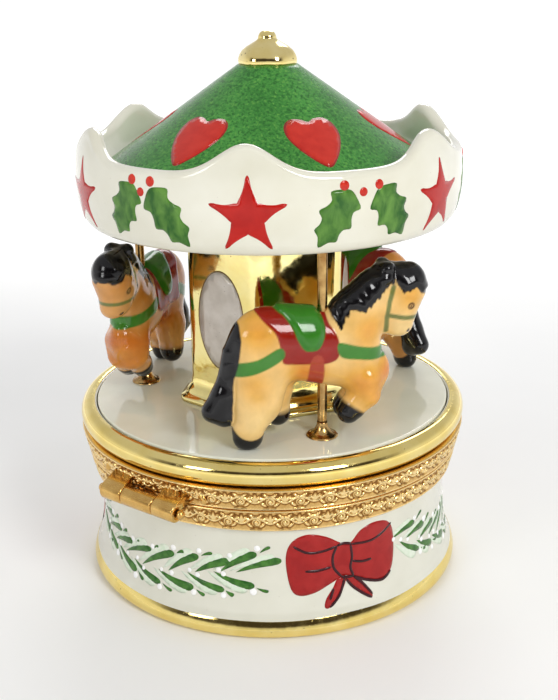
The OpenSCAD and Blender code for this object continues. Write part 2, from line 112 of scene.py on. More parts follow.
ORNAMENT_LENGTH = 4.4
ORNAMENT_REPEATS = 45
RELIEF_DEPTH = 0.28
FILM = 0.03
DECAL_SINK = 0.06
HORSES = {"front": HORSE_TURN, "right": HORSE_TURN + 120, "left": HORSE_TURN + 240}
# Painted shade of each horse: how far its coat is darkened from the same light colours, standing in for the
# light each horse gets.
COAT_SHADE = {"front": 0.8, "right": 0.8, "left": 0.0}


# ---- camera, floor and light ----

def placed(name, data):
    """A new object in the scene."""
    made = bpy.data.objects.new(name, data)
    bpy.context.scene.collection.objects.link(made)
    return made


def make_camera():
    """The camera behind and to the left of the box, 19 degrees above it."""
    position = Vector((-109.57, 145.40, 100.80)) * MM
    aim = Vector((-1.01, -0.76, 36.54)) * MM
    roll = Quaternion((0, 0, 1), math.radians(-0.67))
    data = bpy.data.cameras.new("camera")
    data.lens, data.sensor_width = 58.1, 36.0
    data.clip_start, data.clip_end = 0.005, 20.0
    camera = placed("camera", data)
    camera.location = position
    camera.rotation_mode = "QUATERNION"
    camera.rotation_quaternion = (aim - position).to_track_quat("-Z", "Y") @ roll
    bpy.context.scene.camera = camera


def add_light(name, location, size, power):
    """A soft box that faces the object; place and size in metres, power in watts."""
    data = bpy.data.lights.new(name, "AREA")
    data.shape = "RECTANGLE"
    data.size, data.size_y = size
    data.energy = power
    lamp = placed(name, data)
    lamp.location = location
    lamp.rotation_euler = (LIGHT_AIM - Vector(location)).to_track_quat("-Z", "Y").to_euler()


def make_world():
    """A white studio, brightest at the horizon, with one dark side for the gilding to reflect."""
    world = bpy.data.worlds.new("studio")
    g = Graph(world, "Generated")

    def toward(direction, start, end):
        """Rises from 0 to 1 as a view direction turns towards a fixed one."""
        along = g.node("VectorMath", {0: g.place, 1: direction}, operation="DOT_PRODUCT")
        return g.span(along.outputs["Value"], start, end)

    up = (0, 0, 1)
    upward = g.mix(toward(up, 0.05, 0.5), (1.0, 1.0, 1.0), (0.66, 0.66, 0.67))
    band = g.math("MULTIPLY", toward(up, 0.10, 0.22), toward(up, 0.60, 0.44))
    share = g.math("MULTIPLY", band, toward((-0.6, 0.8, 0), 0.05, 0.55))
    dark_side = g.mix(share, upward, (0.06, 0.05, 0.04))
    sky = g.node("Background", {"Color": dark_side, "Strength": 0.90})
    g.node("OutputWorld", {"Surface": sky.outputs["Background"]})
    bpy.context.scene.world = world


def make_studio():
    """White world, a pale floor and three soft boxes."""
    make_world()
    add_light("key", (-0.45, 0.16, 0.34), (0.16, 0.16), 1.4)
    add_light("fill", (0.06, 0.52, 0.26), (0.14, 0.14), 0.5)
    add_light("rim", (0.25, -0.40, 0.40), (0.30, 0.25), 0.9)
    half = 5.0
    floor = bpy.data.meshes.new("floor")
    floor.from_pydata([(-half, -half, 0), (half, -half, 0), (half, half, 0), (-half, half, 0)], [],
                      [(0, 1, 2, 3)])
    g = Graph(bpy.data.materials.new("floor_paper"))
    far = g.node("VectorMath", {0: g.place}, operation="LENGTH")
    floor.materials.append(g.surface(
        g.clouds(0.02, (0.86, 0.86, 0.85), (0.89, 0.89, 0.88)), 0.6,
        glow=g.span(far.outputs["Value"], 0.04, 0.5, 0.04, 0.55)))
    placed("floor", floor)
    bpy.context.scene.view_settings.view_transform = "Standard"


# ---- materials ----

class Graph:
    """The nodes of one material or world. Pattern coordinates are in millimetres."""

    def __init__(self, owner, place="Object"):
        self.owner = owner
        owner.use_nodes = True
        self.nodes, self.links = owner.node_tree.nodes, owner.node_tree.links
        self.nodes.clear()
        self.place = self.node("TexCoord").outputs[place]

    def node(self, kind, sockets=(), **settings):
        """A new node; a socket takes a constant, a colour, a vector or another node's output."""
        made = self.nodes.new("ShaderNode" + kind)
        for key, value in settings.items():
            setattr(made, key, value)
        for key, value in dict(sockets).items():
            socket = made.inputs[key]
            if isinstance(value, bpy.types.NodeSocket):
                self.links.new(value, socket)
            elif isinstance(value, tuple):
                socket.default_value = (*value, 1.0)[:len(socket.default_value)]
            else:
                socket.default_value = value
        return made

    def coordinates(self, stretch=(1, 1, 1)):
        scale = tuple(s / MM for s in stretch)
        return self.node("Mapping", {"Vector": self.place, "Scale": scale}).outputs["Vector"]

    def noise(self, scale, detail=2.0, stretch=(1, 1, 1), distortion=0.0):
        sockets = {"Vector": self.coordinates(stretch), "Scale": scale, "Detail": detail,
                   "Distortion": distortion}
        return self.node("TexNoise", sockets).outputs["Fac"]

    def cells(self, scale):
        sockets = {"Vector": self.coordinates(), "Scale": scale}
        return self.node("TexVoronoi", sockets).outputs["Distance"]

    def attribute(self, name, output="Fac"):
        return self.node("Attribute", attribute_name=name).outputs[output]

    def ramp(self, value, *stops):
        """Colour by value through (position, (r, g, b)) stops."""
        made = self.node("ValToRGB", {"Fac": value})
        elements = made.color_ramp.elements
        while len(elements) < len(stops):
            elements.new(0.5)
        for element, (position, colour) in zip(elements, stops):
            element.position = position
            element.color = (*colour, 1)
        return made.outputs["Color"]

    def span(self, value, low_in, high_in, low_out=0.0, high_out=1.0):
        """Maps a range of values smoothly onto another."""
        sockets = {"Value": value, "From Min": low_in, "From Max": high_in, "To Min": low_out,
                   "To Max": high_out}
        return self.node("MapRange", sockets, interpolation_type="SMOOTHSTEP").outputs["Result"]

    def clouds(self, scale, first, second, detail=3, edge=0.3):
        """Soft patches of two colours."""
        return self.ramp(self.noise(scale, detail), (edge, first), (1 - edge, second))

    def varied(self, scale, least, most, detail=2.0):
        """A number that drifts between two values."""
        return self.span(self.noise(scale, detail), 0.3, 0.7, least, most)

    def mix(self, factor, a, b, blend="MIX"):
        sockets = {"Factor": factor, 6: a, 7: b}
        return self.node("Mix", sockets, data_type="RGBA", blend_type=blend).outputs[2]

    def math(self, operation, a, b):
        return self.node("Math", {0: a, 1: b}, operation=operation).outputs["Value"]

    def bump(self, height, distance, strength=1.0, **base):
        """A normal from a height pattern, with the full height in millimetres."""
        sockets = {"Height": height, "Distance": distance * MM, "Strength": strength, **base}
        return self.node("Bump", sockets).outputs["Normal"]

    def surface(self, colour, roughness, normal=None, metallic=0.0, coat=0.0, coat_roughness=0.03,
                gloss=0.5, glow=0.0):
        sockets = {"Base Color": colour, "Roughness": roughness, "Metallic": metallic,
                   "Specular IOR Level": gloss, "Coat Weight": coat, "Coat Roughness": coat_roughness,
                   "Emission Color": (1, 1, 1), "Emission Strength": glow}
        if normal is not None:
            sockets["Normal"] = normal
        shader = self.node("BsdfPrincipled", sockets)
        self.node("OutputMaterial", {"Surface": shader.outputs["BSDF"]})
        return self.owner


def linear(*rgb):
    """A colour given as 0 to 255 screen values, as the linear values that shaders use."""
    return tuple((c / 255 / 12.92) if c <= 10 else ((c / 255 + 0.055) / 1.055) ** 2.4 for c in rgb)


def glaze(g, pale, shade, wave=0.02):
    """Glazed white porcelain: a faint cloud in the body colour, fine iron specks and a soft wave."""
    specks = g.math("MULTIPLY", g.span(g.cells(0.55), 0.05, 0.03), 0.35)
    cloud = g.clouds(0.12, linear(*shade), linear(*pale))
    colour = g.mix(specks, cloud, linear(150, 140, 120))
    return g.surface(colour, g.varied(0.6, 0.05, 0.10), g.bump(g.noise(0.22), wave), coat=0.4)


def lustre(g, pale, deep, wave=0.03, pits=0.0):
    """Fired gold: polished metal over a slightly wavy glaze, with thin patches and small pits."""
    pit = g.span(g.cells(1.1), 0.12 + pits, 0.06 + pits)
    mark = g.math("MULTIPLY", pit, g.span(g.noise(0.5), 0.55 - pits, 0.62 - pits))
    colour = g.mix(mark, g.clouds(0.25, deep, pale, detail=4), linear(92, 66, 30))
    normal = g.bump(mark, 0.03, 0.6, Normal=g.bump(g.noise(0.35), wave))
    return g.surface(colour, g.varied(1.4, 0.06, 0.14, detail=3), normal, metallic=1.0)


def enamel(g, deep, pale, grain=0.9, stretch=(1, 1, 1)):
    """Fired overglaze colour laid on with a brush: streaky, glossy and a little uneven."""
    strokes = g.noise(grain, detail=4, stretch=stretch, distortion=0.4)
    colour = g.ramp(strokes, (0.34, linear(*deep)), (0.66, linear(*pale)))
    return g.surface(colour, g.varied(2.0, 0.10, 0.2), g.bump(strokes, 0.012), coat=0.15, gloss=0.22)


def roof_green(g):
    """Green sponged over the glaze: fine light and dark stipple under a gloss coat."""
    dabs = g.noise(2.2, detail=5, distortion=0.6)
    wash = g.clouds(0.16, linear(50, 122, 42), linear(66, 142, 54))
    dark = g.mix(g.span(dabs, 0.52, 0.36), wash, linear(30, 98, 26))
    pale = g.mix(g.span(dabs, 0.54, 0.72), dark, linear(96, 158, 62))
    return g.surface(pale, g.varied(1.2, 0.16, 0.3), g.bump(dabs, 0.02), coat=0.2, coat_roughness=0.14,
                     gloss=0.25)


def silver_oval(g):
    """Silvering that has gone matt and slightly spotted."""
    spots = g.math("MULTIPLY", g.span(g.cells(1.3), 0.11, 0.06), g.span(g.noise(0.5), 0.5, 0.6))
    cloud = g.clouds(0.4, linear(190, 182, 172), linear(214, 208, 200), detail=4)
    return g.surface(g.mix(spots, cloud, linear(92, 84, 80)), g.varied(2.5, 0.32, 0.48, detail=3),
                     g.bump(g.noise(3.0, detail=3), 0.01), metallic=0.35)


def horse_glaze(g):
    """The horse's painted colours under clear glaze, mottled as airbrushed colour is."""
    mottle = g.clouds(0.45, (0.86, 0.84, 0.80), (1.06, 1.05, 1.02), detail=4)
    colour = g.mix(0.8, g.attribute("paint", "Color"), mottle, blend="MULTIPLY")
    return g.surface(colour, g.varied(0.8, 0.10, 0.18), g.bump(g.noise(0.7), 0.03), coat=0.3, gloss=0.25)


def turned_metal(g, pale, deep, roughness):
    """Metal with fine tool marks round its height and a little tarnish."""
    marks = g.noise(3.0, detail=3, stretch=(0.3, 0.3, 5))
    tarnish = g.clouds(0.5, linear(*deep), linear(*pale), detail=4, edge=0.32)
    rough = g.span(marks, 0.3, 0.7, roughness * 0.8, roughness * 1.3)
    return g.surface(tarnish, rough, g.bump(marks, 0.008), metallic=1.0)


def embossed_brass(g):
    """Gilt brass coloured by its relief: painted shade darkens the hollows and a painted highlight lightens
    the raised ornament, with a little noise in both.
    """
    # Noise that moves the painted shade and painted highlight about a little.
    grime_and_shade_noise = g.math("MULTIPLY", g.math("SUBTRACT", g.noise(1.2, detail=4), 0.5), 0.3)
    height = g.math("ADD", g.attribute("relief"), grime_and_shade_noise)
    # Dark brown at the bottom of the hollows is painted shade; the palest gold on the raised tops is a
    # painted highlight.
    colour = g.ramp(height, (0.0, linear(134, 88, 42)), (0.32, linear(202, 158, 90)),
                    (0.52, linear(230, 190, 120)), (0.95, linear(253, 224, 160)))
    return g.surface(colour, g.span(height, 0.0, 0.8, 0.42, 0.2), g.bump(g.noise(5.0), 0.01), metallic=1.0)


# Each finish by its short name: the material's name, how it is made, and with which colours.
FINISHES = {
    "porcelain": ("porcelain", glaze, (226, 225, 211), (217, 216, 200)),
    # The deck's copy of the white glaze is painted lighter than the base's and the valance's: painted light
    # on the deck's lit top.
    "deck": ("deck_porcelain", glaze, (240, 240, 224), (231, 231, 210), 0.03),
    "valance": ("valance_porcelain", glaze, (226, 224, 209), (217, 214, 195), 0.04),
    "gold": ("gold_lustre", lustre, (0.93, 0.76, 0.30), (0.86, 0.66, 0.20)),
    "column": ("column_lustre", lustre, (0.94, 0.82, 0.38), (0.88, 0.73, 0.27), 0.05),
    "finial": ("finial_lustre", lustre, (0.95, 0.80, 0.38), (0.86, 0.66, 0.22), 0.06, 0.06),
    "roof": ("roof_green", roof_green),
    "heart": ("heart_red", enamel, (188, 38, 26), (200, 48, 34), 0.5),
    "heart_line": ("heart_outline", enamel, (140, 30, 26), (165, 40, 34)),
    "star": ("star_red", enamel, (168, 16, 8), (184, 24, 14), 0.4),
    "holly": ("holly_green", enamel, (34, 88, 24), (96, 142, 58), 0.55, (1, 1, 0.6)),
    "berry": ("berry_red", enamel, (178, 34, 24), (206, 56, 38)),
    "bow": ("bow_red", enamel, (152, 24, 24), (170, 34, 32), 0.4),
    "bow_line": ("bow_maroon", enamel, (48, 12, 20), (66, 16, 26)),
    "leaf": ("garland_green", enamel, (40, 92, 30), (76, 130, 52), 0.8),
    "mint": ("garland_mint", enamel, (212, 228, 204), (228, 236, 220)),
    "dot": ("white_enamel", enamel, (248, 248, 246), (252, 252, 252)),
    "silver": ("silver_oval", silver_oval),
    "silver_line": ("oval_outline", enamel, (120, 100, 70), (150, 126, 86)),
    "horse": ("horse_glaze", horse_glaze),
    "brass": ("gilt_brass", turned_metal, (226, 186, 112), (206, 160, 88), 0.22),
    "bezel": ("embossed_brass", embossed_brass),
    "pole": ("pole_brass", turned_metal, (206, 172, 112), (150, 110, 62), 0.22),
    "movement_brass": ("movement_brass", turned_metal, (222, 188, 110), (204, 166, 88), 0.28),
    "steel": ("movement_steel", turned_metal, (196, 198, 200), (168, 170, 174), 0.3),
    "blued": ("blued_steel", turned_metal, (60, 78, 128), (34, 44, 84), 0.22),
    "foil": ("aluminium_foil", turned_metal, (214, 216, 218), (190, 192, 196), 0.34),
}


def make_materials():
    """The material of each finish."""
    return {key: make(Graph(bpy.data.materials.new(name)), *values)
            for key, (name, make, *values) in FINISHES.items()}


# ---- mesh helpers ----

def add_piece(name, shapes, finish, body, replaces=(), which=(), weld=False):
    """A finished piece from (points, faces) shapes in millimetres, riding on its body. finish lists
    its finishes, and which gives the number of the one for each shape, or for each face."""
    points, faces, counts = joined(shapes)
    mesh = bpy.data.meshes.new(name)
    mesh.from_pydata((points * MM).tolist(), [], faces)
    for key in finish.split():
        mesh.materials.append(materials[key])
    if len(which):
        which = np.repeat(which, counts) if len(which) == len(shapes) else which
        mesh.polygons.foreach_set("material_index", np.asarray(which, np.int32))
    mesh.polygons.foreach_set("use_smooth", np.ones(len(mesh.polygons), bool))
    if weld:
        shape = bmesh.new()
        shape.from_mesh(mesh)
        bmesh.ops.remove_doubles(shape, verts=shape.verts, dist=1e-6)
        shape.to_mesh(mesh)
        shape.free()
    mesh.update()
    piece = placed(name, mesh)
    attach(piece, body)
    if replaces:
        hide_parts(*replaces)
    return piece


def joined(shapes):
    """Several (points, faces) as one, with the number of faces of each."""
    points, faces, counts = [], [], []
    start = 0
    for shape_points, shape_faces in shapes:
        if isinstance(shape_faces, np.ndarray):
            faces += (shape_faces + start).tolist()
        else:
            faces += [[int(i) + start for i in face] for face in shape_faces]
        points.append(np.asarray(shape_points, float))
        counts.append(len(shape_faces))
        start += len(shape_points)
    return np.concatenate(points), faces, counts


def facing(degrees):
    """Cosine and sine of an angle."""
    return math.cos(math.radians(degrees)), math.sin(math.radians(degrees))


def rotated(x, y, c, s, x0=0, y0=0):
    """x and y turned by the angle with this cosine and sine, and moved to start from (x0, y0)."""
    return x0 + x * c - y * s, y0 + x * s + y * c


def round_corners(corners, steps=4):
    """A profile through (r, z) or (r, z, radius) corners. One with a radius becomes an arc with a
    support point on each side."""
    out = []
    for i, (*here, radius) in enumerate([(*corner, 0)[:3] for corner in corners]):
        here = np.array(here)
        if radius <= 0:
            out.append(here)
            continue
        before = np.array(corners[i - 1][:2]) - here
        after = np.array(corners[(i + 1) % len(corners)][:2]) - here
        into = before / np.linalg.norm(before)
        away = after / np.linalg.norm(after)
        start, end = here + into * radius, here + away * radius
        out.append(start + into * radius * 0.3)
        for t in np.linspace(0, 1, steps + 1):
            out.append((1 - t) ** 2 * start + 2 * t * (1 - t) * here + t * t * end)
        out.append(end + away * radius * 0.3)
    return np.array(out)


def arc(r, z, reach_r, reach_z, degrees):
    """Points round (r, z) at the given angles from +r towards +z."""
    return [(r + reach_r * math.cos(a), z + reach_z * math.sin(a)) for a in np.radians(degrees)]


def bearings(segments):
    """Evenly spread bearings, in radians."""
    return np.linspace(0, 2 * np.pi, segments, endpoint=False)


def level(r, z, segments):
    """One row of a profile whose radius or height may change with the bearing."""
    return np.stack([r * np.ones(segments), z * np.ones(segments)], axis=-1)


def revolve(profile, segments=240):
    """A closed profile turned round Z. The profile runs up on its outer side; it is (rows, 2), or
    (rows, segments, 2) where it changes with the bearing."""
    profile = np.asarray(profile, float)
    if profile.ndim == 2:
        profile = np.repeat(profile[:, None, :], segments, axis=1)
    rows, segments = profile.shape[:2]
    bearing = bearings(segments)
    points = np.stack([profile[..., 0] * np.sin(bearing), -profile[..., 0] * np.cos(bearing),
                       profile[..., 1]], axis=-1).reshape(-1, 3)
    return points, grid_faces(rows, segments)


def grid_faces(rows, columns):
    """Quads of a grid that closes on itself both ways."""
    r, c = np.meshgrid(np.arange(rows), np.arange(columns), indexing="ij")
    r2, c2 = (r + 1) % rows, (c + 1) % columns
    corners = [r * columns + c, r * columns + c2, r2 * columns + c2, r2 * columns + c]
    return np.stack(corners, axis=-1).reshape(-1, 4)


def turned(points, bearing, distance=0.0, lift=0.0):
    """Points moved out to a distance towards -Y and turned to a bearing."""
    points = np.asarray(points, float)
    x, y = rotated(points[:, 0], points[:, 1] - distance, *facing(bearing))
    return np.stack([x, y, points[:, 2] + lift], axis=-1)


def spline(points, steps=6, closed=True):
    """A smooth line through points."""
    points = np.asarray(points, float)
    count = len(points)
    out = []
    for i in range(count if closed else count - 1):
        near = [(i + k) % count if closed else min(max(i + k, 0), count - 1) for k in (-1, 0, 1, 2)]
        p = points[near]
        for t in np.arange(steps) / steps:
            out.append(0.5 * (2 * p[1] + (p[2] - p[0]) * t
                              + (2 * p[0] - 5 * p[1] + 4 * p[2] - p[3]) * t ** 2
                              + (3 * p[1] - p[0] - 3 * p[2] + p[3]) * t ** 3))
    if not closed:
        out.append(points[-1])
    return np.array(out)


def stroke(points, width, steps=6):
    """The outline of a brush stroke of that width along points, pointed at both ends."""
    line = spline(points, steps, closed=False)
    along = np.gradient(line, axis=0)
    across = np.stack([-along[:, 1], along[:, 0]], axis=-1)
    across /= np.linalg.norm(across, axis=1)[:, None]
    t = np.linspace(0, 1, len(line))
    half = width / 2 * np.minimum(1, np.sqrt(np.minimum(t, 1 - t) * 8 + 0.05))[:, None]
    return np.concatenate([line - across * half, (line + across * half)[::-1]])


def edge_distance(points, outline):
    """Distance from each 2-D point to a closed outline, less than zero inside it."""
    best = np.full(len(points), FAR)
    inside = np.zeros(len(points), bool)
    for a, b in zip(outline, np.roll(outline, -1, axis=0)):
        ab, ap = b - a, points - a
        t = np.clip(ap @ ab / max(ab @ ab, 1e-12), 0, 1)
        best = np.minimum(best, np.linalg.norm(ap - t[:, None] * ab, axis=1))
        crosses = (a[1] > points[:, 1]) != (b[1] > points[:, 1])
        if abs(ab[1]) > 1e-12:
            inside ^= crosses & (points[:, 0] < ab[0] * (points[:, 1] - a[1]) / ab[1] + a[0])
    return np.where(inside, -best, best)


def decal(outline, place, lift=0.05, spacing=0.6, crowned=True):
    """A thin closed shell of fired colour on a surface. place(x, y, h) is the point h above it.
    A crowned one thins towards its edge."""
    outline = np.asarray(outline, float)
    lowest, highest = outline.min(0), outline.max(0)
    grid = np.meshgrid(*[np.arange(a, b, spacing) for a, b in zip(lowest, highest)])
    inner = np.stack([axis.ravel() for axis in grid], axis=-1)
    inner = inner[edge_distance(inner, outline) < -0.3 * spacing]
    flat = np.concatenate([outline, inner])
    count = len(outline)
    ring = [(i, (i + 1) % count) for i in range(count)]
    verts, _, faces, _, _, _ = delaunay_2d_cdt([Vector(p) for p in flat], ring, [], 1, 1e-6)
    flat = np.array([tuple(v) for v in verts])
    inset = np.maximum(-edge_distance(flat, outline), 0)
    rise = lift * np.sqrt(np.clip(inset / 0.35, 0.15, 1)) if crowned else np.full(len(flat), lift)
    top = np.array([place(x, y, h) for (x, y), h in zip(flat, rise)])
    under = np.array([place(x, y, -DECAL_SINK) for x, y in flat])
    size = len(flat)
    out, edges = [], {}
    for face in faces:
        a, b, c = (flat[i] for i in face[:3])
        if (b[0] - a[0]) * (c[1] - a[1]) - (b[1] - a[1]) * (c[0] - a[0]) < 0:
            face = face[::-1]
        out += [tuple(face), tuple(i + size for i in face[::-1])]
        for i, j in zip(face, (*face[1:], face[0])):
            edges[(i, j)] = True
    for i, j in edges:
        if (j, i) not in edges:
            out.append((i, i + size, j + size, j))
    return np.concatenate([top, under]), out


def dome(x, y, radius, place, height, rings=4, segments=16):
    """A raised drop of enamel on a surface."""
    stations = [(radius * math.sin(k / rings * math.pi / 2), height * math.cos(k / rings * math.pi / 2))
                for k in range(1, rings + 1)] + [(radius, -DECAL_SINK)]
    turn = [2 * math.pi * i / segments for i in range(segments)]
    points = [place(x, y, height)]
    points += [place(x + reach * math.cos(a), y + reach * math.sin(a), h)
               for reach, h in stations for a in turn]
    after = [(i + 1) % segments for i in range(segments)]
    faces = [(0, 1 + i, 1 + j) for i, j in enumerate(after)]
    for k in range(rings):
        upper, lower = 1 + k * segments, 1 + (k + 1) * segments
        faces += [(upper + i, lower + i, lower + j, upper + j) for i, j in enumerate(after)]
    faces.append(tuple(lower + i for i in reversed(range(segments))))
    return np.array(points), faces


# ---- box ----

def side_r(z):
    """Outside of the box between the foot and the bezel."""
    if z < WAIST_Z:
        return WAIST_R + 1.4 * ((WAIST_Z - z) / (WAIST_Z - FOOT_H)) ** 2
    return WAIST_R + 0.35 * ((z - WAIST_Z) / (BEZEL_Z - WAIST_Z)) ** 2


def bezel_r(z):
    """Outside of the bezels, which flare a little towards the top."""
    foot_r, flare = 30.9, 0.23
    return foot_r + (z - BEZEL_Z) * flare


def on_wall(radius, mean, bearing):
    """Places decals on an upright wall: x millimetres along it from a bearing, at its mean radius,
    and y the height. radius gives the wall's radius at a height."""
    def place(x, y, h):
        angle = math.radians(bearing) + x / mean
        r = float(radius(y)) + h
        return r * math.sin(angle), -r * math.cos(angle), y
    return place


def on_side(bearing):
    return on_wall(side_r, SIDE_MEAN_R, bearing)


def base_shell():
    """The porcelain base: foot, concave waist, and the inside that holds the movement."""
    waist = [(side_r(z), z) for z in np.linspace(FOOT_H + 0.4, BEZEL_Z + 0.4, 24)]
    foot = arc(FOOT_R - FOOT_ROLL_R, FOOT_ROLL_R, FOOT_ROLL_R, FOOT_ROLL_R, np.arange(-90, 31, 10))
    profile = round_corners([
        (2.56, FLOOR_Z, 0.1), (2.56, RECESS_Z, 0.2), (25, RECESS_Z, 0.8), (27.2, 3.4, 0.8),
        (28.3, 0.0, 0.3), *foot, (FOOT_EDGE_R, FOOT_H - 0.5), *waist, (BEZEL_SEAT_R, BEZEL_Z + 0.6),
        (BEZEL_SEAT_R, PARTING_Z - 0.3, 0.15), (INSIDE_R, PARTING_Z - 0.3, 0.2), (INSIDE_R, FLOOR_Z, 1.5)])
    add_piece("base_porcelain", [revolve(profile)], "porcelain", BODY_BASE, ["base_bowl"])


def foot_gilding():
    """The band of fired gold over the foot, with a hand-painted upper edge."""
    segments = 360
    bearing = bearings(segments)
    edge = FOOT_H + 0.1 + 0.05 * np.sin(3 * bearing + 1) + 0.03 * np.sin(11 * bearing)
    side = np.array([side_r(z) for z in edge])
    rows = arc(FOOT_R - FOOT_ROLL_R, FOOT_ROLL_R, FOOT_ROLL_R + FILM, FOOT_ROLL_R + FILM,
               np.arange(-80, 31, 10))
    rows += [(FOOT_EDGE_R + FILM, FOOT_H - 0.5), (side + 0.18 + FILM, edge - 0.25), (side + FILM, edge)]
    rows += [(r - 0.3, z) for r, z in rows[::-1]]
    add_piece("foot_gilding", [revolve([level(r, z, segments) for r, z in rows])], "gold", BODY_BASE)


def ornament(along, up):
    """Height from 0 to 1 of the embossed ornament: a running vine with a curl under each crest and
    a fan of leaves over each trough, outlined by a groove in a plain ground.
    along runs from 0 to 1 over one repeat and up from -1 to 1 over the band."""
    x = (along - 0.5) * ORNAMENT_LENGTH
    y = up * 1.3

    def petal(cx, cy, angle, length, width):
        u, v = rotated(x - cx, y - cy, *facing(-angle))
        return (np.hypot((u / length - 0.5) * 2, v / width * 2) - 1) * width / 2

    wave = 0.52 * np.cos(2 * np.pi * x / ORNAMENT_LENGTH) + 0.1
    vine = np.abs(y - wave) * 0.85 - 0.13
    cx, cy = 0.12, -0.32
    r = np.hypot(x - cx, y - cy)
    turn = np.arctan2(y - cy, x - cx)
    curl = np.abs(((r - 0.075 * (turn + np.pi)) % 0.47) - 0.235) - 0.11
    parts = [vine, np.maximum(curl, r - 0.68), r - 0.17]
    for side in (-1, 1):
        parts += [petal(side * ORNAMENT_LENGTH / 2, -0.2, angle, 1.05, 0.36) for angle in (52, 90, 128)]
        parts += [petal(side * cx, cy, angle, length, width) for cx, cy, angle, length, width in (
            (0.9, 0.1, 90 - side * 62, 0.85, 0.34), (1.25, -0.5, -90 - side * 48, 0.8, 0.34),
            (0.35, 0.62, 90 - side * 50, 0.7, 0.3))]
    shape = np.minimum.reduce(np.broadcast_arrays(*parts))
    raised = np.clip(0.5 - shape / 0.14, 0, 1)
    groove = np.exp(-((shape - 0.15) / 0.11) ** 2)
    return np.clip(0.5 + 0.5 * raised - 0.5 * groove * (1 - raised), 0, 1)


def bezel(name, bottom, top, inner_profile, body, node, phase):
    """One embossed strip round the box. inner_profile closes it behind, from the top down."""
    segments, rows = ((2000, 40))
    z = np.linspace(bottom, top, rows)
    along = (bearings(segments) / (2 * np.pi) * ORNAMENT_REPEATS + phase) % 1
    share = (z - bottom) / (top - bottom)
    up = (share - 0.5) / 0.36
    inside = np.clip((1.12 - np.abs(up)) / 0.1, 0, 1)[:, None]
    field = ornament(along[None, :], up[:, None]) * inside + 0.5 * (1 - inside)
    border = np.clip(1 - ((np.abs(share - 0.5) - 0.455) / 0.045) ** 2, 0, 1)[:, None]
    relief = np.maximum(field, np.where(border > 0, 0.5 + 0.4 * np.sqrt(border), 0))
    edge = np.clip(np.minimum(share, 1 - share) / 0.05, 0, 1)[:, None]
    outer_r = bezel_r(z)[:, None] - RELIEF_DEPTH + RELIEF_DEPTH * relief - 0.12 * (1 - edge)
    rows = [level(r, height, segments) for r, height in [*zip(outer_r, z), *inner_profile]]
    piece = add_piece(name, [revolve(rows)], "bezel", body, [node])
    values = np.concatenate([relief.ravel(), np.full(len(inner_profile) * segments, 0.8)])
    store = piece.data.attributes.new("relief", "FLOAT", "POINT")
    store.data.foreach_set("value", values.astype(np.float32))


def bezels():
    """The embossed strips of the base and of the lid, each with a lip at the parting."""
    lower_z, upper_z = PARTING_Z - 0.05, PARTING_Z + 0.1
    bezel("lower_bezel_strip", BEZEL_Z, lower_z,
          [(BEZEL_LIP_R, lower_z), (BEZEL_LIP_R, PARTING_Z - 0.25), (BEZEL_BACK_R, PARTING_Z - 0.25),
           (BEZEL_BACK_R, BEZEL_Z)], BODY_BASE, "lower_bezel", 0.0)
    bezel("upper_bezel_strip", upper_z, LID_RIM_Z,
          [(BEZEL_BACK_R, LID_RIM_Z), (BEZEL_BACK_R, PARTING_Z + 0.32), (BEZEL_LIP_R, PARTING_Z + 0.32),
           (BEZEL_LIP_R, upper_z)], BODY_LID, "upper_bezel", 0.5)


def lid_shell():
    """The porcelain lid and the gilded roll round its edge."""
    r, z, reach_r, reach_z = 30.9, 28, 1.72, 1.87  # of the roll
    under, top = 24.7, 27.2
    profile = round_corners([
        (30.0, PARTING_Z + 0.4, 0.1), (30.0, LID_RIM_Z + 0.07),
        *arc(r, z, reach_r, reach_z, np.arange(-90, 91, 9)), (BEZEL_SEAT_R, 29.6, 0.1),
        (BEZEL_SEAT_R, top, 0.2), (2.66, top, 0.1), (2.66, under, 0.1), (25.6, under, 0.5),
        (INSIDE_R, under - 1, 0.5), (INSIDE_R, PARTING_Z + 0.4, 0.1)])
    add_piece("lid_porcelain", [revolve(profile, 300)], "porcelain", BODY_LID, ["lid_shell"])
    sweep = np.arange(-88, 115, 6)
    film = arc(r, z, reach_r + FILM, reach_z + FILM, sweep) + arc(r, z, 1.5, 1.6, sweep)[::-1]
    add_piece("lid_gilding", [revolve(film, 480)], "gold", BODY_LID)


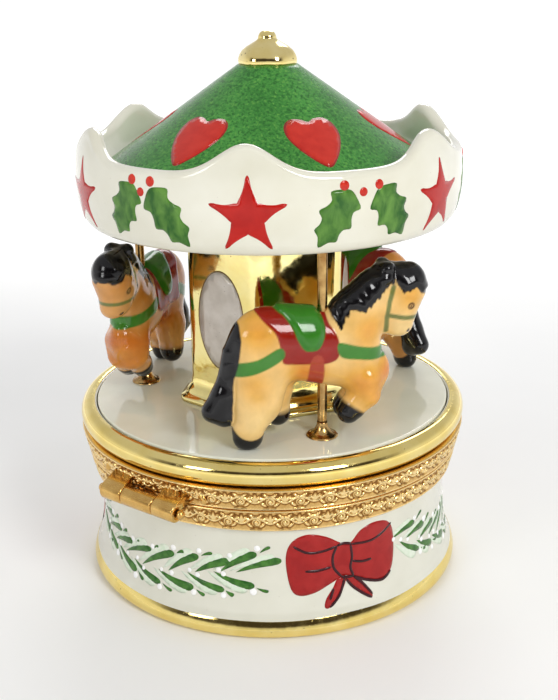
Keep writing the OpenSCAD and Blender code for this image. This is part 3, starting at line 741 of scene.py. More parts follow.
BOW = {
    "loops": [(-9.1, 11.8), (-8.9, 14.6), (-7.7, 16.4), (-5.5, 17.1), (-2.7, 16.3), (-0.1, 14.7), (1.4, 14.4),
              (3.1, 16.2), (5.4, 17.0), (8.1, 16.5), (9.6, 14.6), (10.0, 10.9), (9.2, 7.8), (7.1, 6.7),
              (4.2, 7.5), (1.7, 8.6), (0.2, 9.0), (-2.1, 8.1), (-4.7, 7.0), (-7.1, 6.8), (-8.4, 8.0)],
    "tails": [[(-0.7, 8.9), (0.5, 8.2), (-0.6, 6.1), (-2.3, 4.4), (-3.2, 4.5), (-2.9, 5.8), (-1.7, 7.4)],
              [(0.4, 8.4), (1.7, 8.8), (3.3, 7.1), (4.9, 5.0), (4.7, 4.4), (3.3, 5.5), (1.5, 7.1)]],
    "lines": [[(-8.0, 15.2), (-5.8, 13.9), (-3.5, 13.8), (-0.7, 14.4)],
              [(1.4, 14.2), (5.0, 13.9), (7.4, 14.6), (9.2, 15.8)],
              [(-6.1, 10.7), (-4.1, 10.6), (-1.9, 10.9)], [(1.8, 11.2), (3.6, 10.7), (5.3, 10.7)],
              [(-0.9, 14.4), (-1.6, 12.6), (-1.4, 10.6), (-0.1, 8.9)],
              [(1.4, 14.3), (1.7, 12.0), (1.4, 10.2), (1.9, 8.7)],
              [(-0.9, 14.4), (0.2, 14.6), (1.5, 14.3)], [(-0.2, 8.9), (0.8, 8.7), (1.9, 8.7)],
              [(1.9, 8.6), (4.2, 7.4), (7.1, 6.6), (9.0, 7.5)], [(0.3, 8.6), (-0.7, 6.1), (-2.4, 4.4)],
              [(0.6, 8.4), (1.6, 7.0), (3.4, 5.4), (4.8, 4.4)], [(1.8, 8.7), (3.4, 7.1), (5.0, 4.9)],
              [(-1.6, 7.3), (-2.3, 5.6)]],
}
BOW_BEARING = HORSE_TURN + 0.6


def bows():
    """Three red bows with maroon drawing."""
    for index in range(3):
        place = on_side(BOW_BEARING + 120 * index)
        red = [decal(spline(BOW["loops"], 4), place, lift=0.07)]
        red += [decal(spline(tail, 4), place, lift=0.06) for tail in BOW["tails"]]
        drawn = [decal(stroke(line, 0.42), place, lift=0.11, spacing=0.5, crowned=False)
                 for line in BOW["lines"]]
        add_piece(f"bow_{index + 1}", red + drawn, "bow bow_line", BODY_BASE,
                  which=[0] * len(red) + [1] * len(drawn))


# One garland's leaves, as (bearing, height) of the foot and of the tip, with bearings in degrees
# from the middle of the bow before it.
UPPER_LEAVES = [((19.2, 12.9), (28.7, 13.6)), ((25.6, 11.8), (34.8, 12.1)), ((32.6, 10.2), (42.4, 11.2)),
                ((39.2, 9.2), (49.4, 10.7)), ((46.0, 8.4), (58.6, 11.2)), ((55.2, 7.9), (67.1, 11.8)),
                ((66.2, 8.9), (75.4, 12.5)), ((75.4, 9.9), (85.6, 12.7)), ((84.0, 10.6), (94.4, 14.2)),
                ((88.8, 10.8), (101.6, 12.9))]
LOWER_LEAVES = [((22.6, 11.4), (31.4, 8.4)), ((31.3, 9.6), (40.2, 7.4)), ((41.6, 8.2), (51.6, 6.2)),
                ((51.4, 7.7), (62.7, 6.0)), ((62.6, 8.0), (74.2, 6.9)), ((73.2, 9.1), (83.8, 7.6)),
                ((81.4, 10.0), (93.2, 8.6))]


def leaf_outline(foot, tip, width, bend):
    """One stroke of a loaded brush: narrow where it starts, fullest near its blunt, rounded end."""
    t = np.concatenate([np.linspace(0, 0.9, 8), [0.96, 0.99, 1.0]])
    half = width / 2 * 1.15 * t ** 0.7 * (1 - t ** 9) ** 0.5
    length = math.dist(foot, tip)
    middle = bend * length * np.sin(np.pi * t)
    left = np.stack([t * length, middle + half], axis=-1)
    right = np.stack([t * length, middle - half], axis=-1)[-2:0:-1]
    shape = np.concatenate([right[::-1], left[::-1]])
    c, s = (tip[0] - foot[0]) / length, (tip[1] - foot[1]) / length
    return np.stack(rotated(*shape.T, c, s, *foot), axis=-1)


def garlands():
    """Three sagging sprigs of leaves between the bows, with pale strokes and white enamel dots."""
    rng = np.random.default_rng(7)
    along = math.radians(1) * SIDE_MEAN_R

    def near(point, x_range, y_range, side=1):
        """A point moved by a random distance within each range."""
        x = point[0] + rng.uniform(*x_range)
        return x, point[1] + rng.uniform(*y_range) * side

    for index in range(3):
        place = on_side(BOW_BEARING + 120 * index)

        def leaf(foot, tip, widths, bend, **how):
            return decal(leaf_outline(foot, tip, rng.uniform(*widths), bend * side), place, **how)

        dark, mint, dots = [], [], []
        for (foot, tip), side in [(ends, 1) for ends in UPPER_LEAVES] + [(ends, -1) for ends in LOWER_LEAVES]:
            foot = near((foot[0] * along - 0.5, foot[1] - 0.25 * side), (-0.2, 0.2), (-0.1, 0.1))
            tip = near((tip[0] * along, tip[1]), (-0.3, 0.3), (-0.2, 0.2))
            dark.append(leaf(foot, tip, (1.2, 1.6), 0.05, lift=0.07, spacing=0.5))
            root = (foot[0] - 1.1, foot[1] + 0.1 * side)
            end = (tip[0] - 1.1, tip[1] + rng.uniform(0.5, 0.8) * side)
            mint.append(leaf(root, end, (1.5, 1.9), 0.04, lift=0.04))
            if tip[0] > 97 * along:
                continue
            heel = near(tip, (0.2, 0.6), (-0.2, 0.2), side)
            toe = near(heel, (1.2, 2.0), (0.5, 1.2), side)
            dark.append(leaf(heel, toe, (0.5, 0.8), 0.05, lift=0.08, spacing=0.4))
            dots.append(dome(*near(tip, (-0.2, 0.3), (0.6, 0.9), side), rng.uniform(0.42, 0.58), place,
                             0.17))
            dots.append(dome(*near(foot, (0.2, 0.9), (0.1, 0.5), -side), rng.uniform(0.34, 0.48), place,
                             0.15))
        add_piece(f"garland_{index + 1}", mint + dark, "leaf mint", BODY_BASE,
                  which=[1] * len(mint) + [0] * len(dark))
        add_piece(f"garland_dots_{index + 1}", dots, "dot", BODY_BASE)


# ---- carousel ----

def valance_out(z):
    """Outside of the valance, which is fullest a third of the way up."""
    z = np.asarray(z, float)
    return VALANCE_R - np.where(z < 67.5, 1.2 * ((67.5 - z) / 6.6) ** 2, 1.6 * ((z - 67.5) / 8.8) ** 2)


def roof_top(r):
    """Height of the roof's straight cone."""
    return ROOF_Z - ROOF_FALL * (r - 5)


def rim_height(bearing):
    """Height of the valance's wavy edge: broad valleys and narrow rounded peaks."""
    away = (np.degrees(bearing) - CANOPY_TURN) % 60 - 30
    wave = sum(np.exp(-((away + turn) / 10.5) ** 2) for turn in (0, -60, 60))
    return VALLEY_Z + (PEAK_Z - VALLEY_Z) * np.clip(wave, 0, 1)


def canopy():
    """The canopy in one piece: ivory valance with a wavy edge round a green roof."""
    segments = 900
    rim = rim_height(bearings(segments))
    roof_edge, roof_under, tip_r = 26.7, ROOF_Z - 4, 4.6
    lower = float(valance_out(VALANCE_Z))
    middle = valance_out(rim - 1.2) - 1.15
    junction = roof_top(roof_edge)

    porcelain = arc(lower - 0.95, VALANCE_Z + 0.95, 0.95, 0.95, [-150, -120, -90, -60, -30])
    for t in np.linspace(0.06, 0.94, 26):
        z = VALANCE_Z + 0.7 + t * (rim - VALANCE_Z - 2.0)
        porcelain.append((valance_out(z), z))
    porcelain += arc(middle, rim - 1.2, 1.15, 1.2, np.arange(0, 181, 15))
    porcelain += [((middle - 1.15) * (1 - t) + (roof_edge + 0.9) * t,
                   (rim - 1.2) * (1 - t) + (junction + 0.9) * t) for t in np.linspace(0.15, 0.85, 6)]
    porcelain += [(roof_edge + 0.62, junction + 0.42), (roof_edge + 0.3, junction + 0.12)]
    green = [(r, roof_top(max(r, tip_r))) for r in np.linspace(roof_edge, 3.6, 40)]
    green.append((BORE_R, roof_top(tip_r)))
    inside = [(BORE_R, roof_under)]
    inside += [(r, roof_under - 0.2 if r <= 6 else roof_top(r) - 3.4) for r in np.linspace(6, 25, 12)]
    inside += [(25.6 + (lower - 2.5 - 25.6) * t, 66.4 + (VALANCE_Z + 1.0 - 66.4) * t)
               for t in np.linspace(0.15, 1, 8)]
    parts = (porcelain, green, inside)
    which = np.repeat([0, 1, 0], [len(part) * segments for part in parts])
    rows = [level(r, z, segments) for part in parts for r, z in part]
    add_piece("canopy_porcelain", [revolve(rows)], "valance roof", BODY_CAROUSEL,
              ["canopy"], which)


def on_valance(bearing):
    return on_wall(valance_out, VALANCE_MEAN_R, bearing)


def on_roof(bearing):
    """Places decals on the roof: y is the distance from the axis, counted inwards as up."""
    fall = math.atan(ROOF_FALL)

    def place(x, y, h):
        r = -y + h * math.sin(fall)
        angle = math.radians(bearing) + x / -y
        return r * math.sin(angle), -r * math.cos(angle), roof_top(-y) + h * math.cos(fall)
    return place


def star_outline(size):
    """A five-pointed star with slightly hollow, soft-tipped arms."""
    points = []
    for i in range(5):
        for start, turn, reach in ((90, -2.2, 0.955), (90, 0, 1.0), (90, 2.2, 0.955), (126, 0, 0.42)):
            angle = math.radians(start + 72 * i) + math.radians(turn)
            points.append((size * reach * math.cos(angle), size * reach * math.sin(angle)))
    return np.array(points)


def heart_outline(width, height):
    """A heart with a shallow notch, its point towards the roof's edge; x, y about its middle."""
    half = [(0, 0.41), (0.13, 0.47), (0.32, 0.47), (0.47, 0.34), (0.5, 0.12), (0.38, -0.14), (0.17, -0.39)]
    right = [(x * width, y * height) for x, y in half]
    left = [(-x, y) for x, y in right[1:]]
    return spline([*left[::-1], *right, (0, -0.5 * height)], 4)[::-1]


def holly_outline(x, y, angle, length, width):
    """A holly leaf from its foot, with three spines on each side."""
    upper = [(0, 0), (0.07, 0.26), (0.17, 0.46), (0.27, 0.34), (0.38, 0.38), (0.5, 0.5), (0.58, 0.34),
             (0.68, 0.31), (0.79, 0.35), (0.86, 0.17), (1, 0)]
    shape = [(t * length, v * width) for t, v in upper]
    shape += [(t * length, -v * width) for t, v in upper[-2:0:-1]]
    return np.stack(rotated(*spline(shape, 3).T, *facing(angle), x, y), axis=-1)[::-1]


# Holly sprigs, from the middle of a valley: each leaf's foot, tip and width, and the berries.
SPRIGS = [
    {"leaves": [((-1.2, 69.8), (-5.9, 61.9), 5.6), ((3.2, 69.7), (8.2, 62.3), 6.0)],
     "berries": [(-2.2, 70.5, 0.72), (0.7, 69.4, 0.64), (3.3, 70.2, 0.7)]},
    {"leaves": [((-1.1, 70.2), (-5.4, 62.3), 5.6), ((1.9, 69.8), (7.9, 61.9), 5.6)],
     "berries": [(-1.4, 70.8, 0.74), (0.3, 69.2, 0.64), (2.0, 70.8, 0.74)]},
]


def canopy_decoration():
    """Six stars and six sprigs of holly on the valance, and six hearts on the roof."""
    for index in range(6):
        def add(name, shapes, finish, which=()):
            add_piece(f"{name}_{index + 1}", shapes, finish, BODY_CAROUSEL, which=which)

        star_place = shifted(on_valance(CANOPY_TURN + 30.8 + 60 * index), 66.6)
        add("star", [decal(star_outline(5.75), star_place, lift=0.06)], "star")
        place = on_valance(CANOPY_TURN + 60 * index)
        sprig = SPRIGS[index % 2]
        leaves = []
        for foot, tip, width in sprig["leaves"]:
            angle = math.degrees(math.atan2(tip[1] - foot[1], tip[0] - foot[0]))
            leaf = holly_outline(*foot, angle, math.dist(foot, tip), width)
            leaves.append(decal(leaf, place, lift=0.06, spacing=0.5))
        add("holly", leaves, "holly")
        add("berries", [dome(x, y, radius, place, 0.12) for x, y, radius in sprig["berries"]], "berry")
        roof_place = shifted(on_roof(CANOPY_TURN - 0.8 + 60 * index), -18.5)
        hearts = [decal(heart_outline(width, height), roof_place, lift=lift, spacing=0.7)
                  for width, height, lift in ((8.5, 8.6, 0.03), (8.0, 8.1, 0.06))]
        add("heart", hearts, "heart_line heart", [0, 1])


def shifted(place, up):
    """The same surface with y counted from a height."""
    return lambda x, y, h: place(x, y + up, h)


def deck():
    """The turning porcelain deck."""
    profile = round_corners([(BORE_R, DECK_UNDER_Z, 0.1), (DECK_R, DECK_UNDER_Z, 0.2),
                             (DECK_R, DECK_Z, 0.3), (BORE_R, DECK_Z, 0.1)])
    add_piece("deck_porcelain", [revolve(profile, 300)], "deck", BODY_CAROUSEL, ["deck"])


def finial():
    """The gilded knob: a wide lobed cap that runs up into a small round top."""
    segments = 120
    lobes = 1 + 0.025 * np.cos(6 * bearings(segments))
    base = ROOF_Z + 0.05
    outline = spline([(4.3, 0.0), (4.55, 0.4), (4.5, 1.1), (4.15, 1.9), (3.5, 2.65), (2.6, 3.2), (1.9, 3.6),
                      (1.5, 3.95), (1.4, 4.4), (1.1, 4.9), (0.6, 5.16)], 4, closed=False)
    outline[:, 1] *= (FINIAL_Z - base - 0.02) / 5.21
    rows = [(r * np.where(z < 2.4, lobes, 1), base + z) for r, z in outline]
    rows += [(0, FINIAL_Z), (0, base + 0.01)]
    add_piece("finial_knob", [revolve([level(r, z, segments) for r, z in rows])], "finial", BODY_CAROUSEL,
              ["finial"], weld=True)


def column():
    """The six-sided gilded column, with soft edges, a stepped plinth and a drawn-in top."""
    segments = 360
    away = (np.linspace(0, 360, segments, endpoint=False) - HORSE_TURN + 30) % 60 - 30
    # A rounded hexagon: flat faces that run into arcs about centres short of the corners.
    rounding = 0.2
    corner = np.radians(30 - np.abs(away))
    centre = (1 - rounding) / math.cos(math.radians(30))
    bend = centre * np.cos(corner) + np.sqrt(rounding ** 2 - (centre * np.sin(corner)) ** 2 + 0j).real
    face = 1 / np.cos(np.radians(away))
    soft = np.where(np.tan(np.radians(np.abs(away))) < centre * 0.5, face, bend)
    # How far out of the column's flat, how high above the deck, and how round from 0 to 1.
    stations = [(1.9, 0.06, 0), (1.9, 0.5, 0), (1.75, 0.85, 0), (1.25, 1.1, 0), (0.95, 1.5, 0),
                (0.85, 1.95, 0), (0.45, 2.4, 0), (0.15, 3.1, 0), (0.02, 4.2, 0), (0, 6, 0), (0, 20, 0),
                (0, 26.5, 0),
                (-0.25, 29.0, 0.1), (-1.2, 31.5, 0.4), (-2.6, 33.4, 0.8), (-3.9, 34.6, 1.0),
                (-3.9, COLUMN_TOP_Z - DECK_Z, 1.0)]
    rows = [((COLUMN_R + grow) * (soft * (1 - round_share) + round_share), DECK_Z + up)
            for grow, up, round_share in stations]
    rows += [(BORE_R, COLUMN_TOP_Z), (BORE_R, DECK_Z + 0.06)]
    add_piece("column_gilding", [revolve([level(r, z, segments) for r, z in rows])], "column", BODY_CAROUSEL,
              ["column"])



def ovals():
    """Silvered ovals on the three faces between the horses."""
    middle_z, half_wide, half_high, line = 44.9, 4.95, 8.4, 0.25
    t = np.radians(np.arange(0, 360, 7.5))
    for index in range(3):
        c, s = facing(HORSE_TURN + 60 + 120 * index)

        def place(x, y, h):
            out = COLUMN_R + h
            return out * s + x * c, -out * c + x * s, y

        shapes = [decal(np.stack([(half_wide - inset) * np.cos(t),
                                  middle_z + (half_high - inset) * np.sin(t)], axis=-1),
                        place, lift=lift, spacing=1.2) for inset, lift in ((0, 0.02), (line, 0.06))]
        add_piece(f"silver_oval_{index + 1}", shapes, "silver_line silver", BODY_CAROUSEL,
                  which=[0, 1])


def pole_feet():
    """The flared feet that the poles stand in."""
    foot_r = 2.5
    curve = [(POLE_R + 0.03 + (foot_r - POLE_R) * (1 - math.sin(a)), 0.25 + 2.3 * (1 - math.cos(a)))
             for a in np.radians(np.arange(6, 86, 8))]
    points, faces = revolve(round_corners([(POLE_R + 0.02, 0.0), (foot_r, 0.0, 0.06), *curve,
                                           (POLE_R + 0.02, 2.5)]), 64)
    for name, bearing in HORSES.items():
        add_piece(f"pole_flare_{name}", [(turned(points, bearing, POLE_RING_R, DECK_Z + 0.05), faces)],
                  "pole", BODY_CAROUSEL, [f"pole_foot_{name}"])


# ---- horses ----
# A point of a horse is (s, w, z): forward of its pole, outward, and above the deck.

def chain(s, w, z, *balls):
    """Distance to a limb between balls, each (s, w, z, radius)."""
    best = np.full(np.shape(s), FAR)
    for a, b in zip(balls, balls[1:]):
        ds, dw, dz = b[0] - a[0], b[1] - a[1], b[2] - a[2]
        length = ds * ds + dw * dw + dz * dz
        t = np.clip(((s - a[0]) * ds + (w - a[1]) * dw + (z - a[2]) * dz) / length, 0, 1)
        gap = np.sqrt((s - a[0] - t * ds) ** 2 + (w - a[1] - t * dw) ** 2 + (z - a[2] - t * dz) ** 2)
        best = np.minimum(best, gap - (a[3] + t * (b[3] - a[3])))
    return best


def blend(a, b, width):
    """Union of two distances with a fillet of that width."""
    t = np.clip(0.5 + 0.5 * (b - a) / width, 0, 1)
    return b * (1 - t) + a * t - width * t * (1 - t)


def horse_tail(s, w, z):
    upper = chain(s, w, z, (-12.5, 0, 18.3, 0.9), (-13.9, 0, 14.8, 1.45), (-14.5, 0, 11.0, 1.6),
                  (-15.2, 0, 8.0, 1.9), (-17.0, 0, 5.6, 1.75))
    return blend(upper, chain(s, w, z, (-15.2, 0, 8.0, 1.9), (-15.3, 0.3, 5.0, 1.9)), 0.8)


def horse_hoofs(s, w, z):
    """The outward hind hoof stands on the deck; the other is raised and the fore hoofs are tucked back."""
    near = chain(s, w / 0.75, z, (-12.1, 2.7, 2.6, 2.4), (-12.1, 2.7, 1.9, 2.35))
    far = chain(s, w, z, (-6.8, -2.1, 4.2, 2.05), (-6.6, -2.2, 3.5, 2.0))
    fore = chain(s, np.abs(w - 0.2), z, (4.3, 1.25, 4.6, 1.95), (3.8, 1.3, 4.1, 1.85))
    return np.minimum(np.minimum(near, far), fore)


def past_head(s, w, z):
    """Outward place of a point measured from the head's own middle, which is carried inward."""
    return w + 1.0 * np.clip((s - 4) / 6, 0, 1) * np.clip((z - 14) / 5, 0, 1)


def horse_shape(s, w, z):
    """The horse without its tail: a narrow trunk, a round head and four legs."""
    narrow = w / 0.68
    turned_in = past_head(s, w, z)
    trunk = chain(s, narrow, z, (-8.8, 0, 15.7, 5.6), (-3, 0, 15, 5.6), (4.3, 0, 12.5, 4.9),
                  (6.9, 0, 10.3, 3.7))
    neck = chain(s, turned_in / 0.75, z, (4.0, 0, 16.4, 4.5), (8.4, 0, 21.8, 3.7))
    head = chain(s, turned_in, z, (12.9, 0, 21.9, 3.3), (12.1, 0, 17.6, 2.4))
    jaw = chain(s, turned_in, z, (10.9, 0, 20.0, 2.8), (11.1, 0, 18.2, 2.4))
    shape = blend(blend(trunk, neck, 2.2), blend(head, jaw, 1.2), 1.4)
    thighs = np.minimum(chain(s, narrow, z, (-9.4, 1.4, 12.6, 4.5), (-10.3, 2.2, 7.2, 3.7)),
                        chain(s, narrow, z, (-7.6, -1.6, 12.0, 4.3), (-7.6, -2.4, 8.4, 3.4)))
    shins = np.minimum(chain(s, w, z, (-10.4, 1.6, 7.0, 3.0), (-11.9, 2.0, 3.6, 2.5)),
                       chain(s, w, z, (-7.6, -1.7, 8.2, 2.7), (-6.8, -2.1, 4.6, 2.2)))
    shape = blend(shape, blend(thighs, shins, 1.2), 1.6)
    fore = chain(s, np.abs(w - 0.2), z, (6.4, 1.1, 9.4, 2.8), (6.4, 1.1, 6.9, 2.5), (4.7, 1.2, 5.2, 2.05))
    between = chain(s, w - 0.2, z, (6.6, 0, 9.4, 3.0), (6.5, 0, 7.0, 2.5))
    return blend(shape, blend(fore, between, 0.6), 1.4)


def horse_hair(s, w, z):
    """The raised mane, forelock and small ears."""
    w = past_head(s, w, z)
    mane = chain(s, w / 0.8, z, (2.0, 0, 18.2, 2.6), (4.9, 0, 20.6, 2.8), (8.3, 0, 23.1, 2.6),
                 (9.5, 0, 24.3, 2.2))
    lock = chain(s, w, z, (12.1, 0, 23.8, 2.5), (13.5, 0, 23.6, 2.6), (14.3, 0, 22.7, 2.1))
    ears = chain(s, np.abs(w), z, (9.8, 1.1, 24.9, 1.6), (9.9, 1.35, 25.9, 0.9))
    return blend(blend(mane, ears, 0.7), lock, 0.9)


def horse_base(s, w, z):
    """The whole horse before its relief, cut level at the deck."""
    shape = blend(horse_shape(s, w, z), horse_hair(s, w, z), 0.7)
    shape = blend(shape, horse_tail(s, w, z), 0.7)
    shape = blend(shape, horse_hoofs(s, w, z), 0.5)
    return -blend(-shape, z, 0.3)


# Painted areas in side view, (s, z), as they lie on the horse's flank.
MANE = [(0.6, 22.4), (0.7, 20.3), (1.4, 18.5), (2.4, 18.0), (3.9, 20.4), (5.8, 20.0), (7.2, 21.0),
        (8.6, 22.1), (9.8, 23.4), (10.8, 24.1), (11.9, 28.6), (8.2, 28.4), (3.6, 25.2)]
FORELOCK = [(10.8, 24.1), (11.7, 22.9), (12.4, 22.4), (13.1, 22.7), (14.2, 22.9), (15.1, 21.9), (16.2, 21.9),
            (17.8, 22.2), (17.8, 29.0), (10.8, 28.6)]
BLANKET = [(-10.9, 23.3), (-10.8, 21.7), (-9.6, 20.0), (-8.0, 18.3), (-7.4, 16.5), (-7.1, 14.4), (-6.6, 13.5),
           (-4.3, 13.2), (-2.8, 13.1), (-0.7, 12.9), (1.2, 13.4), (1.8, 14.7), (1.6, 16.6), (1.0, 18.0),
           (0.4, 18.9), (0.2, 20.5), (0.4, 24.0)]
SADDLE = [(-8.6, 23.6), (-8.1, 22.5), (-7.9, 21.7), (-7.1, 20.9), (-6.3, 20.3), (-5.3, 18.7), (-4.7, 17.1),
          (-3.8, 15.6), (-2.9, 15.2), (-1.5, 15.4), (-0.6, 16.8), (-0.3, 18.1), (-0.4, 19.3), (-0.6, 20.6),
          (-0.6, 24.0)]
GIRTH = [(-2.7, 13.6), (-2.6, 5.8), (-0.6, 5.8), (-0.7, 13.6)]
BREAST = [(1.6, 16.0), (4.9, 15.2), (8.3, 14.5), (12.8, 14.6), (12.8, 12.5), (8.1, 12.6), (5.0, 13.1),
          (2.0, 13.8)]
BREECHING = [(-7.3, 16.1), (-10.6, 14.6), (-13.3, 13.9), (-15.5, 13.3), (-15.5, 11.0), (-13.6, 11.6),
             (-10.6, 12.5), (-6.9, 14.4)]
DOCK = [(-13.7, 20.3), (-12.9, 17.9), (-13.0, 16.0), (-13.5, 13.0), (-14.0, 10.7), (-14.5, 8.4), (-15.0, 4.1),
        (-20.0, 4.0), (-20.0, 20.0)]
CHEEK_STRAP = [(10.6, 23.4), (9.9, 21.2), (9.6, 18.8), (9.6, 16.6)]
NOSE_BAND = [(9.7, 19.1), (12.2, 18.6), (14.6, 18.3), (16.4, 18.2)]
EYE = (13.3, 20.4)
NOSTRIL = (13.1, 16.4)


def line_distance(s, z, line):
    """Distance in side view to an open line."""
    best = np.full(np.shape(s), FAR)
    for a, b in zip(line, line[1:]):
        ds, dz = b[0] - a[0], b[1] - a[1]
        t = np.clip(((s - a[0]) * ds + (z - a[1]) * dz) / (ds * ds + dz * dz), 0, 1)
        best = np.minimum(best, np.hypot(s - a[0] - t * ds, z - a[1] - t * dz))
    return best


def painted(s, z, area):
    """Distance in side view to a painted area, less than zero inside it."""
    return edge_distance(np.stack([s, z], axis=-1), spline(area, 4))


def tufts(s, z):
    """A ragged edge for painted hair."""
    return 0.28 * np.abs(((s * 1.05 + z * 0.35) % 1.0) - 0.5) * 2 + 0.12 * np.sin(5.1 * s)


def horse_relief(s, z):
    """How far the detail stands proud of the base shape."""
    def rise(distance, height, edge):
        t = np.clip(-distance / edge, 0, 1)
        return height * t * t * (3 - 2 * t)

    relief = rise(painted(s, z, BLANKET), 0.16, 0.4)
    relief += rise(painted(s, z, SADDLE), 0.55, 0.9)
    strands = 0.5 + 0.5 * np.sin(5.0 * (s * 0.82 + z * 0.57) + 1.2 * np.sin(0.9 * z))
    for hair in (MANE, FORELOCK):
        edge = painted(s, z, hair) + 0.25
        relief += rise(edge, 0.30, 0.9) + rise(edge, 0.05, 1.2) * strands
    for strap in (BREAST, BREECHING):
        relief += rise(painted(s, z, strap), 0.08, 0.25)
    return relief


def surface_net(field, origin, step):
    """A closed quad mesh on the zero level of a field sampled on a grid."""
    corners = [(i, j, k) for i in (0, 1) for j in (0, 1) for k in (0, 1)]
    size = np.array(field.shape) - 1

    def corner(offset):
        return field[tuple(slice(first, first + count) for first, count in zip(offset, size))]

    inside = np.zeros(size, int)
    for offset in corners:
        inside += corner(offset) < 0
    cells = (inside > 0) & (inside < 8)
    index = np.full(size, -1)
    index[cells] = np.arange(cells.sum())
    total = np.zeros((cells.sum(), 3))
    count = np.zeros(cells.sum())
    for a in corners:
        for axis in range(3):
            if a[axis]:
                continue
            b = tuple(1 if i == axis else a[i] for i in range(3))
            fa, fb = corner(a)[cells], corner(b)[cells]
            cross = (fa < 0) != (fb < 0)
            t = np.where(cross, fa / np.where(cross, fa - fb, 1), 0)
            place = np.tile(np.array(a, float), (len(t), 1))
            place[:, axis] += t
            total += place * cross[:, None]
            count += cross
    points = (np.argwhere(cells) + total / count[:, None]) * step + origin
    quads = []
    for axis in range(3):
        u, v = [i for i in range(3) if i != axis]
        first = np.take(field, range(field.shape[axis] - 1), axis) < 0
        second = np.take(field, range(1, field.shape[axis]), axis) < 0
        for flip, mask in ((False, first & ~second), (True, ~first & second)):
            at = np.argwhere(mask)
            at = at[(at[:, u] > 0) & (at[:, v] > 0) & (at[:, u] < size[u]) & (at[:, v] < size[v])]
            ring = []
            for du, dv in ((-1, -1), (0, -1), (0, 0), (-1, 0)):
                near = at.copy()
                near[:, u] += du
                near[:, v] += dv
                ring.append(index[tuple(near.T)])
            ring = np.stack(ring, axis=-1)
            if flip != (axis == 1):
                ring = ring[:, ::-1]
            quads.append(ring)
    return points, np.concatenate(quads)


def settle(points, field, rounds=4):
    """Moves points along the field's slope onto its zero level."""
    step = 0.02
    for _ in range(rounds):
        s, w, z = points.T
        value = field(s, w, z)
        slope = np.stack([field(s + step, w, z) - value, field(s, w + step, z) - value,
                          field(s, w, z + step) - value], axis=-1) / step
        size = np.maximum((slope ** 2).sum(1), 0.2)
        points = points - slope * (np.clip(value, -0.3, 0.3) / size)[:, None]
    return points


def horse_paint(s, w, z, shade_depth):
    """Linear colour at each point of a horse; the last argument, from 0 to 1, darkens its whole coat as
    painted shade for a horse in less light.
    """
    def over(colour, new, distance, soft=0.10):
        share = np.clip(0.5 - distance / (2 * soft), 0, 1)[:, None]
        return colour * (1 - share) + np.array(new) * share

    # Light and dark coat colours, mixed by this horse's painted shade.
    coat = []
    for light, dark in (((234, 202, 138), (206, 146, 84)), ((224, 168, 76), (200, 124, 54)),
                        ((210, 122, 36), (186, 92, 26))):
        light, dark = np.array(linear(*light)), np.array(linear(*dark))
        coat.append(light + (dark - light) * shade_depth)
    pale, ochre, orange = coat
    # Warm spots of the airbrush, as (s, z, size, strength).
    warm = sum(np.exp(-((s - cs) ** 2 + (z - cz) ** 2) / size ** 2) * strength for cs, cz, size, strength in (
        (-10.5, 18, 3.6, 0.6), (5.5, 9.5, 3.0, 0.8), (10, 10.5, 2.2, 0.8), (9, 6.0, 2.4, 0.5),
        (-3.5, 11.5, 2.6, 1), (-11.5, 10.5, 2.6, 0.25), (6.5, 18.0, 3.0, 0.5), (13.6, 22, 2.2, 0.4)))
    drift = 0.5 + 0.5 * np.sin(0.55 * s + 1.3) * np.sin(0.62 * z + 0.4 * w)
    warm = np.clip(np.clip(warm, 0, 1) * 0.85 + 0.25 * drift, 0, 1)[:, None]
    colour = np.where(warm < 0.5, pale + (ochre - pale) * warm * 2, ochre + (orange - ochre) * (warm * 2 - 1))
    strap, bridle, black = linear(62, 126, 42), linear(112, 118, 62), linear(14, 13, 16)
    for area, new in ((BLANKET, linear(144, 26, 14)), (GIRTH, linear(168, 60, 38)),
                      (SADDLE, linear(52, 122, 34)), (BREAST, strap), (BREECHING, strap)):
        colour = over(colour, new, painted(s, z, area))
    colour = over(colour, bridle, line_distance(s, z, CHEEK_STRAP) - 0.36)
    colour = over(colour, bridle, line_distance(s, z, NOSE_BAND) - 0.34)
    side = (np.abs(past_head(s, w, z)) > 0.7)[:, None]
    eye = np.hypot(s - EYE[0], z - EYE[1])
    colour = np.where(side, over(colour, linear(90, 60, 24), np.abs(eye - 0.42) - 0.16, 0.08), colour)
    colour = np.where(side, over(colour, black, eye - 0.17, 0.08), colour)
    colour = over(colour, linear(40, 24, 16), np.hypot(s - NOSTRIL[0], z - NOSTRIL[1]) - 0.3)
    shape = horse_shape(s, w, z)
    for distance in (painted(s, z, MANE) + tufts(s, z), painted(s, z, FORELOCK) + tufts(s, z),
                     horse_tail(s, w, z) - shape + 0.1, painted(s, z, DOCK),
                     horse_hoofs(s, w, z) - shape * 0.9 - 0.15):
        colour = over(colour, black, distance)
    return colour


def horses():
    """Three horses from one sculpted field, each on its pole."""
    step = 0.2
    low_corner, high_corner = np.array([-21.0, -7.0, -1.0]), np.array([19.5, 7.0, 29.0])
    grid = np.meshgrid(*[np.arange(a, b, step) for a, b in zip(low_corner, high_corner)], indexing="ij")
    points, faces = surface_net(horse_base(*grid), low_corner, step)
    points = settle(points, lambda s, w, z: horse_base(s, w, z) - horse_relief(s, z))
    local = turned(points * (1, -1, 1), -HORSE_YAW)
    for name, bearing in HORSES.items():
        piece = add_piece(f"horse_{name}_glazed",
                          [(turned(local, bearing, POLE_RING_R, DECK_Z + 0.1), faces[:, ::-1])], "horse",
                          BODY_CAROUSEL, [f"horse_{name}"])
        # This horse's colours, darkened by its painted shade.
        paint = horse_paint(*points.T, COAT_SHADE[name])
        store = piece.data.color_attributes.new("paint", "FLOAT_COLOR", "POINT")
        store.data.foreach_set("color", np.insert(paint, 3, 1, axis=1).astype(np.float32).ravel())


# ---- metalwork ----

